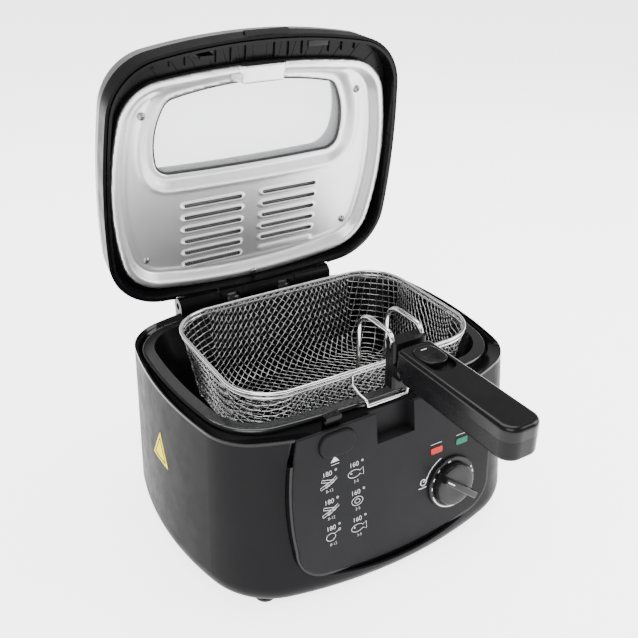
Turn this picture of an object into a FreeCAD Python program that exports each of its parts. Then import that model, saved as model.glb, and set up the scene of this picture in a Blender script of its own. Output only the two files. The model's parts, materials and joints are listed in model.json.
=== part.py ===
"""Deep fryer with a hinged window lid, a wire basket on a folding handle and a fixed oil pot.

Frame: X right, Y back, Z up, millimetres. The origin is on the floor, at the middle of the
whole object's outline (lid open, basket hung up to drain). Bodies are drawn around the basket's
centre line, and "frame_y" moves them all back so that the origin is the middle.
"""
import FreeCAD, Part
import math
import os

import Sketcher

Vector = FreeCAD.Vector
X_AXIS = Vector(1, 0, 0)
Y_AXIS = Vector(0, 1, 0)
Z_AXIS = Vector(0, 0, 1)

doc = FreeCAD.newDocument("deep_fryer")

# ---------------------------------------------------------------- driving dimensions

SIZES = {
    # whole object
    "frame_y": 29.8,
    "wall": 2.5,
    "gap": 0.4,
    # casing: outline at the top and at the floor, and its levels
    "casing_half_top": 132.5,
    "casing_front_top": 106.0,
    "casing_back_top": 118.5,
    "casing_half_base": 143.0,
    "casing_front_base": 118.5,
    "casing_back_base": 125.6,
    "casing_floor": 2.5,
    "casing_top": 138.0,
    "casing_base_round": 18.0,
    "collar_seam": 136.0,
    "collar_lip": 132.0,
    "collar_half": 129.6,
    "collar_front": 92.0,
    "collar_back": 110.0,
    "channel_floor": 124.0,
    # oil pot
    "pot_half": 126.5,
    "pot_front": 83.6,
    "pot_back": 102.3,
    "pot_corner": 44.0,
    "pot_rim_width": 8.0,
    "pot_rim_top": 139.5,
    "pot_rim_thick": 5.0,
    "pot_wall": 1.5,
    "pot_floor": 40.0,
    "pot_taper": 9.0,
    "pot_floor_round": 14.0,
    # front panel, leaning back from the floor
    "panel_lean": 7.64,
    "panel_top_y": 96.4,
    "panel_top_z": 138.0,
    "panel_half_top": 77.4,
    "panel_half_wide": 85.0,
    "panel_height": 118.0,
    "panel_thick": 2.2,
    "trim_wide": 2.2,
    "notch_half": 16.0,
    "notch_depth": 24.0,
    "notch_back": 10.0,
    # knob, lamps and release button, placed on the panel
    "knob_x": 47.6,
    "knob_drop": 78.5,
    "knob_skirt_r": 21.5,
    "knob_r": 17.0,
    "knob_tall": 7.0,
    "knob_grip_wide": 5.0,
    "knob_grip_tall": 12.5,
    "knob_gap": 0.6,
    "shaft_r": 3.0,
    "running_fit": 0.05,
    "lamp_red_x": 35.0,
    "lamp_green_x": 58.5,
    "lamp_drop": 47.0,
    "lamp_wide": 10.5,
    "lamp_tall": 5.0,
    "button_x": 48.2,
    "button_drop": 11.5,
    "button_wide": 28.0,
    "button_tall": 18.0,
    "button_proud": 2.0,
    # basket
    "basket_half_x": 100.0,
    "basket_half_y": 69.65,
    "basket_rim_z": 158.0,
    "basket_corner": 34.0,
    "basket_deep": 66.0,
    "basket_taper": 11.0,
    "basket_floor_round": 16.0,
    "mesh_thick": 1.2,
    "rim_wire_r": 1.3,
    "hook_wire_r": 1.2,
    "loop_wire_r": 1.6,
    "loop_half": 11.5,
    # basket handle
    "handle_start": 111.0,
    "handle_end": 216.0,
    "handle_half": 13.5,
    "handle_bottom": 173.0,
    "handle_seam": 186.0,
    "handle_top": 195.5,
    "bracket_half": 13.0,
    "bracket_back": 98.5,
    "bracket_front": 109.5,
    "bracket_bottom": 163.0,
    "bracket_top": 197.0,
    "pivot_z": 177.5,
    "pivot_y": 114.5,
    "pivot_r": 2.0,
    # lid, drawn closed about its hinge line
    "hinge_y": 117.5,
    "hinge_z": 141.0,
    "hinge_pin_r": 3.0,
    "lid_open": 79.75,
    "lid_half": 129.6,
    "lid_back": 5.5,
    "lid_front": 221.6,
    "lid_corner": 47.0,
    "lid_rim": 1.1,
    "lid_tall": 46.0,
    "lid_wall": 2.2,
    "plate_half": 122.6,
    "plate_back": 10.9,
    "plate_front": 200.4,
    "plate_flange_z": 5.9,
    "plate_z": 14.9,
    "plate_thick": 1.0,
    "window_seat": 18.9,
    "window_half": 84.6,
    "window_back": 112.4,
    "window_front": 183.9,
    # feet
    "foot_r": 8.0,
    "foot_x": 98.0,
    "foot_y": 82.0,
}

sheet = doc.addObject("Spreadsheet::Sheet", "dims")
for row, (alias, value) in enumerate(SIZES.items(), start=1):
    sheet.set(f"A{row}", alias)
    sheet.set(f"B{row}", str(value))
    sheet.setAlias(f"B{row}", alias)
doc.recompute()


def dim(alias):
    """A driving dimension, read from the sheet."""
    return float(sheet.get(alias))


# ---------------------------------------------------------------- shared helpers

nodes = []


def keep(obj, label):
    """Labels a finished sub-part, which is written to a file of that name."""
    obj.Label = label
    nodes.append(obj)
    return obj


def place(obj, where="body"):
    """Puts an object drawn in one of the design frames where it belongs in the fryer."""
    if where == "body":
        obj.setExpression("Placement.Base.y", "dims.frame_y")
    elif where == "lid":
        obj.Placement.Rotation = FreeCAD.Rotation(X_AXIS, -dim("lid_open"))
        obj.setExpression("Placement.Base.y", "dims.frame_y + dims.hinge_y")
        obj.setExpression("Placement.Base.z", "dims.hinge_z")
    elif where == "panel":
        obj.Placement.Rotation = FreeCAD.Rotation(X_AXIS, 90 - dim("panel_lean"))
        obj.setExpression("Placement.Base.y", "dims.frame_y - dims.panel_top_y")
        obj.setExpression("Placement.Base.z", "dims.panel_top_z")
    return obj


def feature(label, shape, where="body"):
    """A sub-part whose shape is worked out here, in the frame that it is drawn in."""
    obj = doc.addObject("Part::Feature", label)
    obj.Shape = shape
    return keep(place(obj, where), label)


def outline(half, front, back, middle, front_r, side_r, back_r, corner, z=0.0):
    """A closed wire of eight tangent arcs, symmetric about X=0: a rounded, slightly bulged rectangle.

    half is reached at y=middle; front and back are the y of the ends on the centre line.
    """
    centre_f = Vector(0, front + front_r, 0)
    centre_b = Vector(0, back - back_r, 0)
    centre_s = Vector(half - side_r, middle, 0)

    def corner_centre(end, end_r, sign):
        """Centre of the corner arc, which touches an end arc and the side arc from inside."""
        gap = centre_s - end
        far = gap.Length
        reach_end = end_r - corner
        reach_side = side_r - corner
        along = (far ** 2 + reach_end ** 2 - reach_side ** 2) / (2 * far)
        away = math.sqrt(max(reach_end ** 2 - along ** 2, 0))
        unit = gap.normalize()
        normal = Vector(-unit.y, unit.x, 0)
        options = [end + unit * along + normal * away * s for s in (1, -1)]
        return max(options, key=lambda p: p.x + sign * p.y)

    def touch(big, small, radius):
        return big + (small - big).normalize() * radius

    low = corner_centre(centre_f, front_r, -1)
    high = corner_centre(centre_b, back_r, 1)
    front_touch = touch(centre_f, low, front_r)
    side_low = touch(centre_s, low, side_r)
    side_high = touch(centre_s, high, side_r)
    back_touch = touch(centre_b, high, back_r)

    def arc(start, end, centre, radius):
        way = ((start - centre).normalize() + (end - centre).normalize()).normalize()
        return start, centre + way * radius, end

    right = [
        arc(front_touch, side_low, low, corner),
        arc(side_low, side_high, centre_s, side_r),
        arc(side_high, back_touch, high, corner),
    ]

    def flip(p):
        return Vector(-p.x, p.y, p.z)

    arcs = [(flip(front_touch), Vector(0, front, 0), front_touch)] + right
    arcs.append((back_touch, Vector(0, back, 0), flip(back_touch)))
    arcs += [tuple(flip(p) for p in reversed(a)) for a in reversed(right)]
    lift = Vector(0, 0, z)
    return Part.Wire([Part.Arc(*(p + lift for p in a)).toShape() for a in arcs])


class Plan:
    """The eight-arc outline of one shell, which can be drawn at any height and inset."""

    def __init__(self, half, front, back, middle, front_r, side_r, back_r, corner):
        self.values = (half, front, back, middle, front_r, side_r, back_r, corner)

    def wire(self, z, inset=0.0):
        half, front, back, middle, front_r, side_r, back_r, corner = self.values
        return outline(
            half - inset, front + inset, back - inset, middle,
            front_r - inset, side_r - inset, back_r - inset, max(corner - inset, 1.0), z,
        )

    def prism(self, low, high, inset=0.0):
        return Part.Face(self.wire(low, inset)).extrude(Vector(0, 0, high - low))


def loft(*wires):
    """A solid between outlines of the same kind at different heights."""
    return Part.makeLoft(list(wires), True, True)


def level_edges(shape, z, tolerance=0.01):
    """The edges that lie wholly at height z."""
    return [e for e in shape.Edges if abs(e.BoundBox.ZMin - z) < tolerance
            and abs(e.BoundBox.ZMax - z) < tolerance]


def box(x0, x1, y0, y1, z0, z1):
    return Part.makeBox(x1 - x0, y1 - y0, z1 - z0, Vector(x0, y0, z0))


def pipe(points, radius, bend, closed=False):
    """A round wire of straight runs joined by tangent arcs; bend is one radius, or one per corner."""
    points = [Vector(*p) for p in points]
    count = len(points)
    bends = bend if isinstance(bend, (list, tuple)) else [bend] * count
    corners = range(count) if closed else range(1, count - 1)
    arcs = {}
    for i in corners:
        here, before, after = points[i], points[i - 1], points[(i + 1) % count]
        back, ahead = (before - here), (after - here)
        half = back.getAngle(ahead) / 2
        cut = bends[i] / math.tan(half)
        back.normalize()
        ahead.normalize()
        middle = (back + ahead).normalize()
        centre = here + middle * (bends[i] / math.sin(half))
        arcs[i] = (here + back * cut, centre - middle * bends[i], here + ahead * cut)
    edges = []
    start = arcs[0][2] if closed else points[0]
    for i in list(corners)[1 if closed else 0:] + ([0] if closed else []):
        edges.append(Part.LineSegment(start, arcs[i][0]).toShape())
        edges.append(Part.Arc(*arcs[i]).toShape())
        start = arcs[i][2]
    if not closed:
        edges.append(Part.LineSegment(start, points[-1]).toShape())
    spine = Part.Wire(edges)
    first = edges[0]
    heading = first.tangentAt(first.FirstParameter)
    ring = Part.Wire(Part.makeCircle(radius, first.valueAt(first.FirstParameter), heading))
    return spine.makePipeShell([ring], True, False)


def solid_of(shape):
    """The single solid inside a boolean's result."""
    return shape.Solids[0] if len(shape.Solids) == 1 else shape


def cylinder(radius, height, base, way=Z_AXIS):
    return Part.makeCylinder(radius, height, Vector(*base), way)


# ---- sketched bodies

def new_body(label, where="body", x=None, y=None, z=None):
    """A PartDesign body in one of the design frames; x, y, z are sheet expressions in that frame."""
    body = doc.addObject("PartDesign::Body", label)
    if where == "body":
        body.setExpression("Placement.Base.x", x or "0")
        body.setExpression("Placement.Base.y", f"dims.frame_y + ({y or '0'})")
        body.setExpression("Placement.Base.z", z or "0")
    else:
        base, turn, slope = {
            "panel": (("-dims.panel_top_y", "dims.panel_top_z"), 90 - dim("panel_lean"), "dims.panel_lean"),
        }[where]
        body.Placement.Rotation = FreeCAD.Rotation(X_AXIS, turn)
        down = f"({y or '0'})"
        out = f"({z or '0'})"
        body.setExpression("Placement.Base.x", x or "0")
        body.setExpression(
            "Placement.Base.y",
            f"dims.frame_y + {base[0]} + {down} * sin({slope} * 1 deg) - {out} * cos({slope} * 1 deg)",
        )
        body.setExpression(
            "Placement.Base.z",
            f"{base[1]} + {down} * cos({slope} * 1 deg) + {out} * sin({slope} * 1 deg)",
        )
    return keep(body, label)


def sketch_on(body, name, role="XY_Plane"):
    sketch = body.newObject("Sketcher::SketchObject", name)
    plane = next(f for f in body.Origin.OriginFeatures if f.Role == role)
    sketch.AttachmentSupport = [(plane, "")]
    sketch.MapMode = "FlatFace"
    return sketch


def draw_rectangle(sketch, wide, tall, x="0", y="0"):
    """A rectangle of sheet-driven size, centred on a sheet-driven point."""
    corners = [Vector(-5, -5, 0), Vector(5, -5, 0), Vector(5, 5, 0), Vector(-5, 5, 0)]
    first = sketch.GeometryCount
    for i in range(4):
        sketch.addGeometry(Part.LineSegment(corners[i], corners[(i + 1) % 4]))
    for i in range(4):
        sketch.addConstraint(Sketcher.Constraint("Coincident", first + i, 2, first + (i + 1) % 4, 1))
    for i in (0, 2):
        sketch.addConstraint(Sketcher.Constraint("Horizontal", first + i))
        sketch.addConstraint(Sketcher.Constraint("Vertical", first + i + 1))
    drive(sketch, Sketcher.Constraint("DistanceX", first, 1, first, 2, 10.0), wide)
    drive(sketch, Sketcher.Constraint("DistanceY", first + 1, 1, first + 1, 2, 10.0), tall)
    drive(sketch, Sketcher.Constraint("DistanceX", -1, 1, first, 1, -5.0), f"({x}) - ({wide}) / 2")
    drive(sketch, Sketcher.Constraint("DistanceY", -1, 1, first, 1, -5.0), f"({y}) - ({tall}) / 2")


def draw_circle(sketch, radius, x="0", y="0"):
    """A circle of sheet-driven size and place."""
    index = sketch.addGeometry(Part.Circle(Vector(1, 1, 0), Z_AXIS, 5))
    drive(sketch, Sketcher.Constraint("Radius", index, 5.0), radius)
    drive(sketch, Sketcher.Constraint("DistanceX", -1, 1, index, 3, 1.0), x)
    drive(sketch, Sketcher.Constraint("DistanceY", -1, 1, index, 3, 1.0), y)


def drive(sketch, constraint, expression):
    index = sketch.addConstraint(constraint)
    sketch.setExpression(f"Constraints[{index}]", expression)


def pad(body, sketch, length, reverse=False):
    grown = body.newObject("PartDesign::Pad", sketch.Name + "_pad")
    grown.Profile = sketch
    grown.setExpression("Length", length)
    grown.Reversed = reverse
    return grown


def pocket(body, sketch, depth, reverse=False):
    """Cuts a sketch to a depth, and fails loudly if it cuts nothing."""
    doc.recompute()
    before = body.Shape.Volume
    cut = body.newObject("PartDesign::Pocket", sketch.Name + "_cut")
    cut.Profile = sketch
    cut.setExpression("Length", depth)
    cut.Reversed = reverse
    doc.recompute()
    if body.Shape.Volume > before - 0.5:
        raise RuntimeError(f"{sketch.Name} cuts nothing")
    return cut


def round_edges(body, base, radius, pick):
    """A PartDesign fillet on the edges of base that pick(edge) chooses."""
    doc.recompute()
    names = [f"Edge{i + 1}" for i, e in enumerate(base.Shape.Edges) if pick(e)]
    fillet = body.newObject("PartDesign::Fillet", base.Name + "_round")
    fillet.Base = (base, names)
    fillet.setExpression("Radius", radius)
    return fillet


def upright(edge):
    """Whether an edge is straight and parallel to the body's own Z."""
    span = edge.BoundBox
    return span.ZLength > 0.1 and span.XLength < 1e-6 and span.YLength < 1e-6


def at_height(z):
    """Picks the edges that lie flat at one height."""
    return lambda e: abs(e.BoundBox.ZMin - z) < 1e-4 and abs(e.BoundBox.ZMax - z) < 1e-4


def group(label, parts):
    """One node that holds several separate solids of the same kind."""
    bundle = doc.addObject("Part::Compound", label)
    bundle.Links = parts
    return keep(bundle, label)


def primitive_cylinder(name, radius, height, x, y, z):
    """An upright Part::Cylinder whose size and place come from the sheet."""
    rod = doc.addObject("Part::Cylinder", name)
    rod.setExpression("Radius", radius)
    rod.setExpression("Height", height)
    rod.setExpression("Placement.Base.x", x)
    rod.setExpression("Placement.Base.y", f"dims.frame_y + ({y})")
    rod.setExpression("Placement.Base.z", z)
    return rod


# ---------------------------------------------------------------- outlines of the shells

CASING_TOP = Plan(dim("casing_half_top"), -dim("casing_front_top"), dim("casing_back_top"),
                  14, 267, 324, 350, 41)
CASING_BASE = Plan(dim("casing_half_base"), -dim("casing_front_base"), dim("casing_back_base"),
                   8, 376, 250, 376, 65)
COLLAR = Plan(dim("collar_half"), -dim("collar_front"), dim("collar_back"), 30, 247, 700, 400, 37)
POT = Plan(dim("pot_half"), -dim("pot_front"), dim("pot_back"), 31, 715, 400, 675, dim("pot_corner"))
BASKET = Plan(dim("basket_half_x"), -dim("basket_half_y"), dim("basket_half_y"),
              0, 4000, 4000, 4000, dim("basket_corner"))
LID = Plan(dim("lid_half"), -dim("lid_front"), -dim("lid_back"), -86, 461, 640, 941, dim("lid_corner"))
PLATE = Plan(dim("plate_half"), -dim("plate_front"), -dim("plate_back"), -103, 610, 254, 507, 38.7)
WINDOW = Plan(dim("window_half"), -dim("window_front"), -dim("window_back"), -137, 311, 67, 1967, 13.3)


def panel_frame(shape):
    """Carries a shape from the panel's own frame into the body frame."""
    lean = dim("panel_lean")
    shape.rotate(Vector(0, 0, 0), X_AXIS, 90 - lean)
    shape.translate(Vector(0, -dim("panel_top_y"), dim("panel_top_z")))
    return shape


def panel_outline(grow=0.0, z=0.0):
    """The panel's edge in its own frame: a flat top, bowed sides and a rounded, bowed bottom."""
    top = dim("panel_half_top") + grow
    wide = dim("panel_half_wide") + grow
    low = -dim("panel_height") - grow
    side = (Vector(top, grow, z), Vector(wide, -45, z), Vector(wide - 1.5, -85, z))
    turn = (side[2], Vector(wide - 8.5, -104.5, z), Vector(wide - 26, low + 6.5, z))
    base = (turn[2], Vector(0, low, z), Vector(-turn[2].x, turn[2].y, z))

    def mirrored(points):
        return tuple(Vector(-p.x, p.y, p.z) for p in reversed(points))

    arcs = [side, turn, base, mirrored(turn), mirrored(side)]
    edges = [Part.Arc(*a).toShape() for a in arcs]
    edges.append(Part.LineSegment(Vector(-top, grow, z), Vector(top, grow, z)).toShape())
    return Part.Wire(edges)


def panel_prism(back, front, grow=0.0):
    """The panel's outline as a block from back to front along the panel's outward direction."""
    return Part.Face(panel_outline(grow, back)).extrude(Vector(0, 0, front - back))


# ---------------------------------------------------------------- casing and base

def casing_block(low_extra=0.0):
    return loft(CASING_BASE.wire(dim("casing_floor") - low_extra), CASING_TOP.wire(dim("casing_top")))


def hinge_pocket():
    """Room in the casing's back edge for the hinge bracket."""
    return box(-74, 74, 107, 140, 127.3, 150)


def outer_casing():
    wall = dim("wall")
    floor = dim("casing_floor")
    outer = casing_block()
    outer = outer.makeFillet(dim("casing_base_round"), level_edges(outer, floor))
    inner = loft(CASING_BASE.wire(floor + wall, wall), CASING_TOP.wire(dim("casing_top") + 1, wall))
    inner = inner.makeFillet(dim("casing_base_round") - wall, level_edges(inner, floor + wall))
    shell = outer.cut(inner)
    shell = shell.cut(CASING_BASE.prism(-1, floor + wall + 1, 24))
    shell = shell.cut(box(-200, 200, -200, 200, dim("collar_seam"), 200))
    shell = shell.cut(panel_frame(panel_prism(-9, 30, dim("trim_wide") + dim("gap"))))
    shell = shell.cut(hinge_pocket())
    shell = shell.cut(cylinder(7.7, 40, (60, 105, 40), Y_AXIS))
    return solid_of(shell)


feature("outer_casing", outer_casing())


def base_pan():
    floor = dim("casing_floor")
    pan = CASING_BASE.prism(floor, floor + dim("wall"), 24 + dim("gap"))
    pan = pan.fuse(CASING_BASE.prism(floor + dim("wall") + 0.1, floor + 4.6, 20))
    pan = pan.fuse(CASING_BASE.prism(floor + 2, floor + 3, 26))
    for row in range(-3, 4):
        pan = pan.cut(box(-45, 45, row * 9 - 1.8, row * 9 + 1.8, 0, 20))
    return solid_of(pan.removeSplitter())


feature("base_pan", base_pan())

feet = []
screws = []
for i, (side, end) in enumerate([(-1, -1), (1, -1), (-1, 1), (1, 1)]):
    foot = primitive_cylinder(f"foot_{i}", "dims.foot_r", "dims.casing_floor - 0.1",
                              f"{side} * dims.foot_x", f"{end} * dims.foot_y", "0")
    feet.append(foot)
    screw = primitive_cylinder(f"base_screw_{i}", "2.4", "1.6", f"{side} * 72", f"{end} * 84", "0.8")
    screws.append(screw)
group("rubber_feet", feet)
group("base_screws", screws)


def notch_clearance():
    """The handle's notch, which runs through the collar and the panel."""
    half = dim("notch_half") + 2.2
    return box(-half, half, -125, -84.0, 138 - dim("notch_depth") - 2.5, 150)


def top_collar():
    """The glossy ring between the casing and the pot: a sloping shoulder and a channel."""
    seam = dim("collar_seam")
    top = dim("casing_top")
    skirt_low = dim("channel_floor") - 2.5
    cap = casing_block().common(box(-200, 200, -200, 200, seam + 0.05, top))
    skirt = CASING_TOP.prism(skirt_low, seam + 0.1, dim("wall") + 0.3)
    ring = cap.fuse(skirt)
    ring = ring.cut(loft(COLLAR.wire(dim("collar_lip")), CASING_TOP.wire(top + 0.01, 0.8)))
    ring = ring.cut(COLLAR.prism(dim("channel_floor"), dim("collar_lip") + 0.01))
    ring = ring.cut(POT.prism(skirt_low - 1, dim("channel_floor") + 1, dim("pot_rim_width") - 1))
    ring = ring.cut(panel_frame(panel_prism(-dim("panel_thick") - 0.3, 30, dim("gap"))))
    ring = ring.cut(notch_clearance())
    ring = ring.cut(box(-56, -24, -95, -84.2, dim("channel_floor"), 150))
    ring = ring.cut(box(-56, -41, -95, -84.2, skirt_low - 1, 150))
    ring = ring.cut(panel_frame(box(-64, -33, -24, -1.6, -14, 1)))
    ring = ring.cut(hinge_pocket())
    return solid_of(ring.removeSplitter())


feature("top_collar", top_collar())

# ---------------------------------------------------------------- front panel, knob and lamps

BUTTON_HOLE = (dim("button_wide") + 0.8, dim("button_tall") + 0.8)


def rounded_block(wide, tall, low, high, x, y, corner):
    """A block with rounded upright edges, centred on x, y."""
    block = box(x - wide / 2, x + wide / 2, y - tall / 2, y + tall / 2, low, high)
    return block.makeFillet(corner, [e for e in block.Edges if upright(e)])


def control_panel():
    thick = dim("panel_thick")
    half = dim("notch_half")
    deep = dim("notch_depth")
    back = -dim("notch_back")
    plate = panel_prism(-thick, 0)
    plate = plate.makeFillet(0.8, [e for e in plate.Edges if abs(e.BoundBox.ZMin) < 1e-4
                                   and abs(e.BoundBox.ZMax) < 1e-4])
    cup = box(-half - 1.6, half + 1.6, -deep - 1.6, -3, back - 1.4, -thick + 0.01)
    plate = plate.fuse(cup)
    plate = plate.cut(box(-half, half, -deep, 10, back, 10))
    plate = plate.cut(rounded_block(*BUTTON_HOLE, -thick - 1, 1, -dim("button_x"), -dim("button_drop"), 8.6))
    for x in (dim("lamp_red_x"), dim("lamp_green_x")):
        plate = plate.cut(rounded_block(dim("lamp_wide") + 0.2, dim("lamp_tall") + 0.2, -thick - 1, 1,
                                        x, -dim("lamp_drop"), 1.4))
    plate = plate.cut(cylinder(dim("shaft_r") + 2, 9, (dim("knob_x"), -dim("knob_drop"), -thick - 2)))
    return solid_of(plate.removeSplitter())


feature("control_panel", control_panel(), "panel")



def panel_trim():
    """The glossy strip that lines the gap between the panel and the casing."""
    strip = panel_prism(-8, -0.7, dim("trim_wide")).cut(panel_prism(-9, 1, 0.3))
    return solid_of(strip.cut(box(-100, 100, -18, 10, -10, 5)))


feature("panel_trim", panel_trim(), "panel")

for colour in ("red", "green"):
    lens = new_body(f"{colour}_lens", "panel", f"dims.lamp_{colour}_x", "-dims.lamp_drop", "-2.6")
    face = sketch_on(lens, f"{colour}_lens_face")
    draw_rectangle(face, "dims.lamp_wide", "dims.lamp_tall")
    round_edges(lens, pad(lens, face, "3.1"), "1.3", upright)

lamps = []
for colour in ("red", "green"):
    bulb = doc.addObject("Part::Cylinder", f"{colour}_bulb")
    bulb.setExpression("Radius", "2.2")
    bulb.setExpression("Height", "12")
    lean = math.radians(dim("panel_lean"))
    drop = -dim("lamp_drop")
    y = -dim("panel_top_y") + drop * math.sin(lean) + 4 * math.cos(lean)
    z = dim("panel_top_z") + drop * math.cos(lean) - 4 * math.sin(lean)
    bulb.Placement = FreeCAD.Placement(Vector(dim(f"lamp_{colour}_x"), dim("frame_y") + y, z),
                                       FreeCAD.Rotation(X_AXIS, -90 - dim("panel_lean")))
    lamps.append(bulb)
group("indicator_lamps", lamps)

knob = new_body("control_knob", "panel", "dims.knob_x", "-dims.knob_drop", "dims.knob_gap")
skirt = sketch_on(knob, "knob_skirt")
draw_circle(skirt, "dims.knob_skirt_r")
pad(knob, skirt, "2")
crown = sketch_on(knob, "knob_crown")
draw_circle(crown, "dims.knob_r")
pad(knob, crown, "dims.knob_tall")
grip = sketch_on(knob, "knob_grip")
draw_rectangle(grip, "2 * dims.knob_r - 3", "dims.knob_grip_wide")
pad(knob, grip, "dims.knob_grip_tall")
bore = sketch_on(knob, "knob_bore")
draw_circle(bore, "dims.shaft_r + 0.02")
pocket(knob, bore, "5", True)

shaft = new_body("knob_shaft", "panel", "dims.knob_x", "-dims.knob_drop", "-16")
shaft_face = sketch_on(shaft, "shaft_face")
draw_circle(shaft_face, "dims.shaft_r")
pad(shaft, shaft_face, "21")

thermostat = new_body("thermostat_body", "panel", "dims.knob_x", "-dims.knob_drop", "-30")
case = sketch_on(thermostat, "thermostat_case")
draw_rectangle(case, "28", "26")
pad(thermostat, case, "22")
neck = sketch_on(thermostat, "thermostat_neck")
draw_circle(neck, "4.8")
pad(thermostat, neck, "26")
well = sketch_on(thermostat, "thermostat_well")
draw_circle(well, "dims.shaft_r + dims.running_fit")
doc.recompute()
well_cut = thermostat.newObject("PartDesign::Pocket", "thermostat_well_cut")
well_cut.Profile = well
well_cut.Type = 1
well_cut.Reversed = True

# ---------------------------------------------------------------- release button and latch

button = new_body("release_button", "panel", "-dims.button_x", "-dims.button_drop", "-2.3")
button_face = sketch_on(button, "button_face")
draw_rectangle(button_face, "dims.button_wide", "dims.button_tall")
cap = pad(button, button_face, "dims.button_proud + 2.3")
sides = round_edges(button, cap, "8.4", upright)
round_edges(button, sides, "1.2", at_height(dim("button_proud") + 2.3))


def latch_hook():
    """An upright leg whose nose holds the lid's striker until the button pushes it back."""
    leg = box(-54.5, -42.5, -92.5, -88.5, 112, 146)
    return leg.fuse(box(-54.5, -42.5, -94.6, -92.5, 143, 146)).removeSplitter()


feature("latch_hook", solid_of(latch_hook()))


def coil(radius, wire, length, turns):
    """A compression spring standing on the origin along Z."""
    helix = Part.makeHelix(length / turns, length, radius)
    start = helix.Edges[0].valueAt(helix.Edges[0].FirstParameter)
    ring = Part.Wire(Part.makeCircle(wire, start, Y_AXIS))
    return Part.Wire(helix.Edges).makePipeShell([ring], True, True)


def turned(shape, axis, angle, move):
    shape.rotate(Vector(0, 0, 0), axis, angle)
    shape.translate(Vector(*move))
    return shape


spring = turned(coil(2.6, 0.4, 2.8, 3), X_AXIS, 90, (-48.5, -85.2, 117))
feature("latch_spring", Part.makeCompound([spring]))

# ---------------------------------------------------------------- oil pot and what heats it


def oil_pot():
    rim = dim("pot_rim_width")
    top = dim("pot_rim_top")
    floor = dim("pot_floor")
    wall = dim("pot_wall")
    taper = dim("pot_taper")
    ring = POT.prism(top - dim("pot_rim_thick"), top)
    outer_edges = [e for e in ring.Edges if e.BoundBox.ZLength < 1e-4]
    ring = ring.makeFillet(2.3, outer_edges)
    bowl = loft(POT.wire(floor, rim + taper), POT.wire(top - 2, rim))
    bowl = bowl.makeFillet(dim("pot_floor_round"), level_edges(bowl, floor))
    inside = loft(POT.wire(floor + wall, rim + wall + taper), POT.wire(top + 0.1, rim + wall))
    inside = inside.makeFillet(dim("pot_floor_round") - wall, level_edges(inside, floor + wall))
    pot = ring.fuse(bowl).cut(inside)
    return solid_of(pot)


feature("oil_pot", oil_pot())

gasket = POT.prism(dim("channel_floor") + 0.1, dim("pot_rim_top") - dim("pot_rim_thick") - 0.1, 3.5)
gasket = gasket.cut(POT.prism(100, 150, dim("pot_rim_width") - 0.6))
feature("pot_gasket", solid_of(gasket))

element_run = [(-25, 96, 34), (-25, 60, 34), (-80, 60, 34), (-80, -42, 34),
               (80, -42, 34), (80, 60, 34), (25, 60, 34), (25, 96, 34)]
feature("heating_element", pipe(element_run, 3.3, 16))

spreader = new_body("element_plate", y="8", z="37.5")
spreader_face = sketch_on(spreader, "spreader_face")
draw_rectangle(spreader_face, "186", "120")
round_edges(spreader, pad(spreader, spreader_face, "2.4"), "24", upright)

shield = new_body("heat_shield", y="8", z="22")
shield_face = sketch_on(shield, "shield_face")
draw_rectangle(shield_face, "180", "130")
round_edges(shield, pad(shield, shield_face, "0.8"), "20", upright)

terminals = new_body("terminal_block", x="58", y="98", z="22.5")
terminal_face = sketch_on(terminals, "terminal_face")
draw_rectangle(terminal_face, "36", "14")
pad(terminals, terminal_face, "9")
for i in range(3):
    way = sketch_on(terminals, f"terminal_way_{i}")
    draw_rectangle(way, "7", "8", f"{(i - 1) * 11}")
    pocket(terminals, way, "5", True)

fuse = doc.addObject("Part::Cylinder", "fuse")
fuse.setExpression("Radius", "2.2")
fuse.setExpression("Height", "16")
fuse.Placement.Rotation = FreeCAD.Rotation(Y_AXIS, 90)
fuse.setExpression("Placement.Base.x", "-52")
fuse.setExpression("Placement.Base.y", "dims.frame_y + 76")
fuse.setExpression("Placement.Base.z", "35")
keep(fuse, "thermal_fuse")

bulb_run = [(40, -82, 43.2), (40, -82, 34.8), (40, -50, 34.8)]
feature("thermostat_bulb", pipe(bulb_run, 1.4, 5))

gland = cylinder(10.5, 6.6, (60, 115, 40), Y_AXIS).cut(casing_block())
gland = gland.fuse(cylinder(7.4, 18, (60, 103, 40), Y_AXIS))
gland = gland.cut(cylinder(4.0, 40, (60, 95, 40), Y_AXIS))
feature("cord_gland", solid_of(gland.removeSplitter()))

label_half = 13.5
label_low = 78.0
label_tall = 24.5
label_mid = 6.5
corner_points = [Vector(-170, label_mid - label_half, label_low),
                 Vector(-170, label_mid + label_half, label_low),
                 Vector(-170, label_mid, label_low + label_tall)]
corner_points.append(corner_points[0])
label_prism = Part.Face(Part.makePolygon(corner_points)).extrude(Vector(60, 0, 0))
grown = loft(CASING_BASE.wire(dim("casing_floor"), -0.35), CASING_TOP.wire(dim("casing_top"), -0.35))
feature("hot_surface_label", solid_of(label_prism.common(grown).cut(casing_block())))

# ---------------------------------------------------------------- hinge on the casing

pin_r = dim("hinge_pin_r")
hinge_y = dim("hinge_y")
hinge_z = dim("hinge_z")


def hinge_bracket():
    base = box(-73.5, 73.5, 107.5, 124.5, 127.5, 132.8)
    for side in (-1, 1):
        x0, x1 = sorted((side * 37.0, side * 73.5))
        base = base.fuse(box(x0, x1, hinge_y - 7.5, hinge_y + 7, 130, hinge_z))
        base = base.fuse(cylinder(7.5, x1 - x0, (x0, hinge_y, hinge_z), X_AXIS))
    base = base.cut(cylinder(pin_r + dim("running_fit"), 200, (-100, hinge_y, hinge_z), X_AXIS))
    return solid_of(base.removeSplitter())


feature("hinge_bracket", hinge_bracket())

# ---------------------------------------------------------------- lid, drawn closed about its hinge

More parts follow.
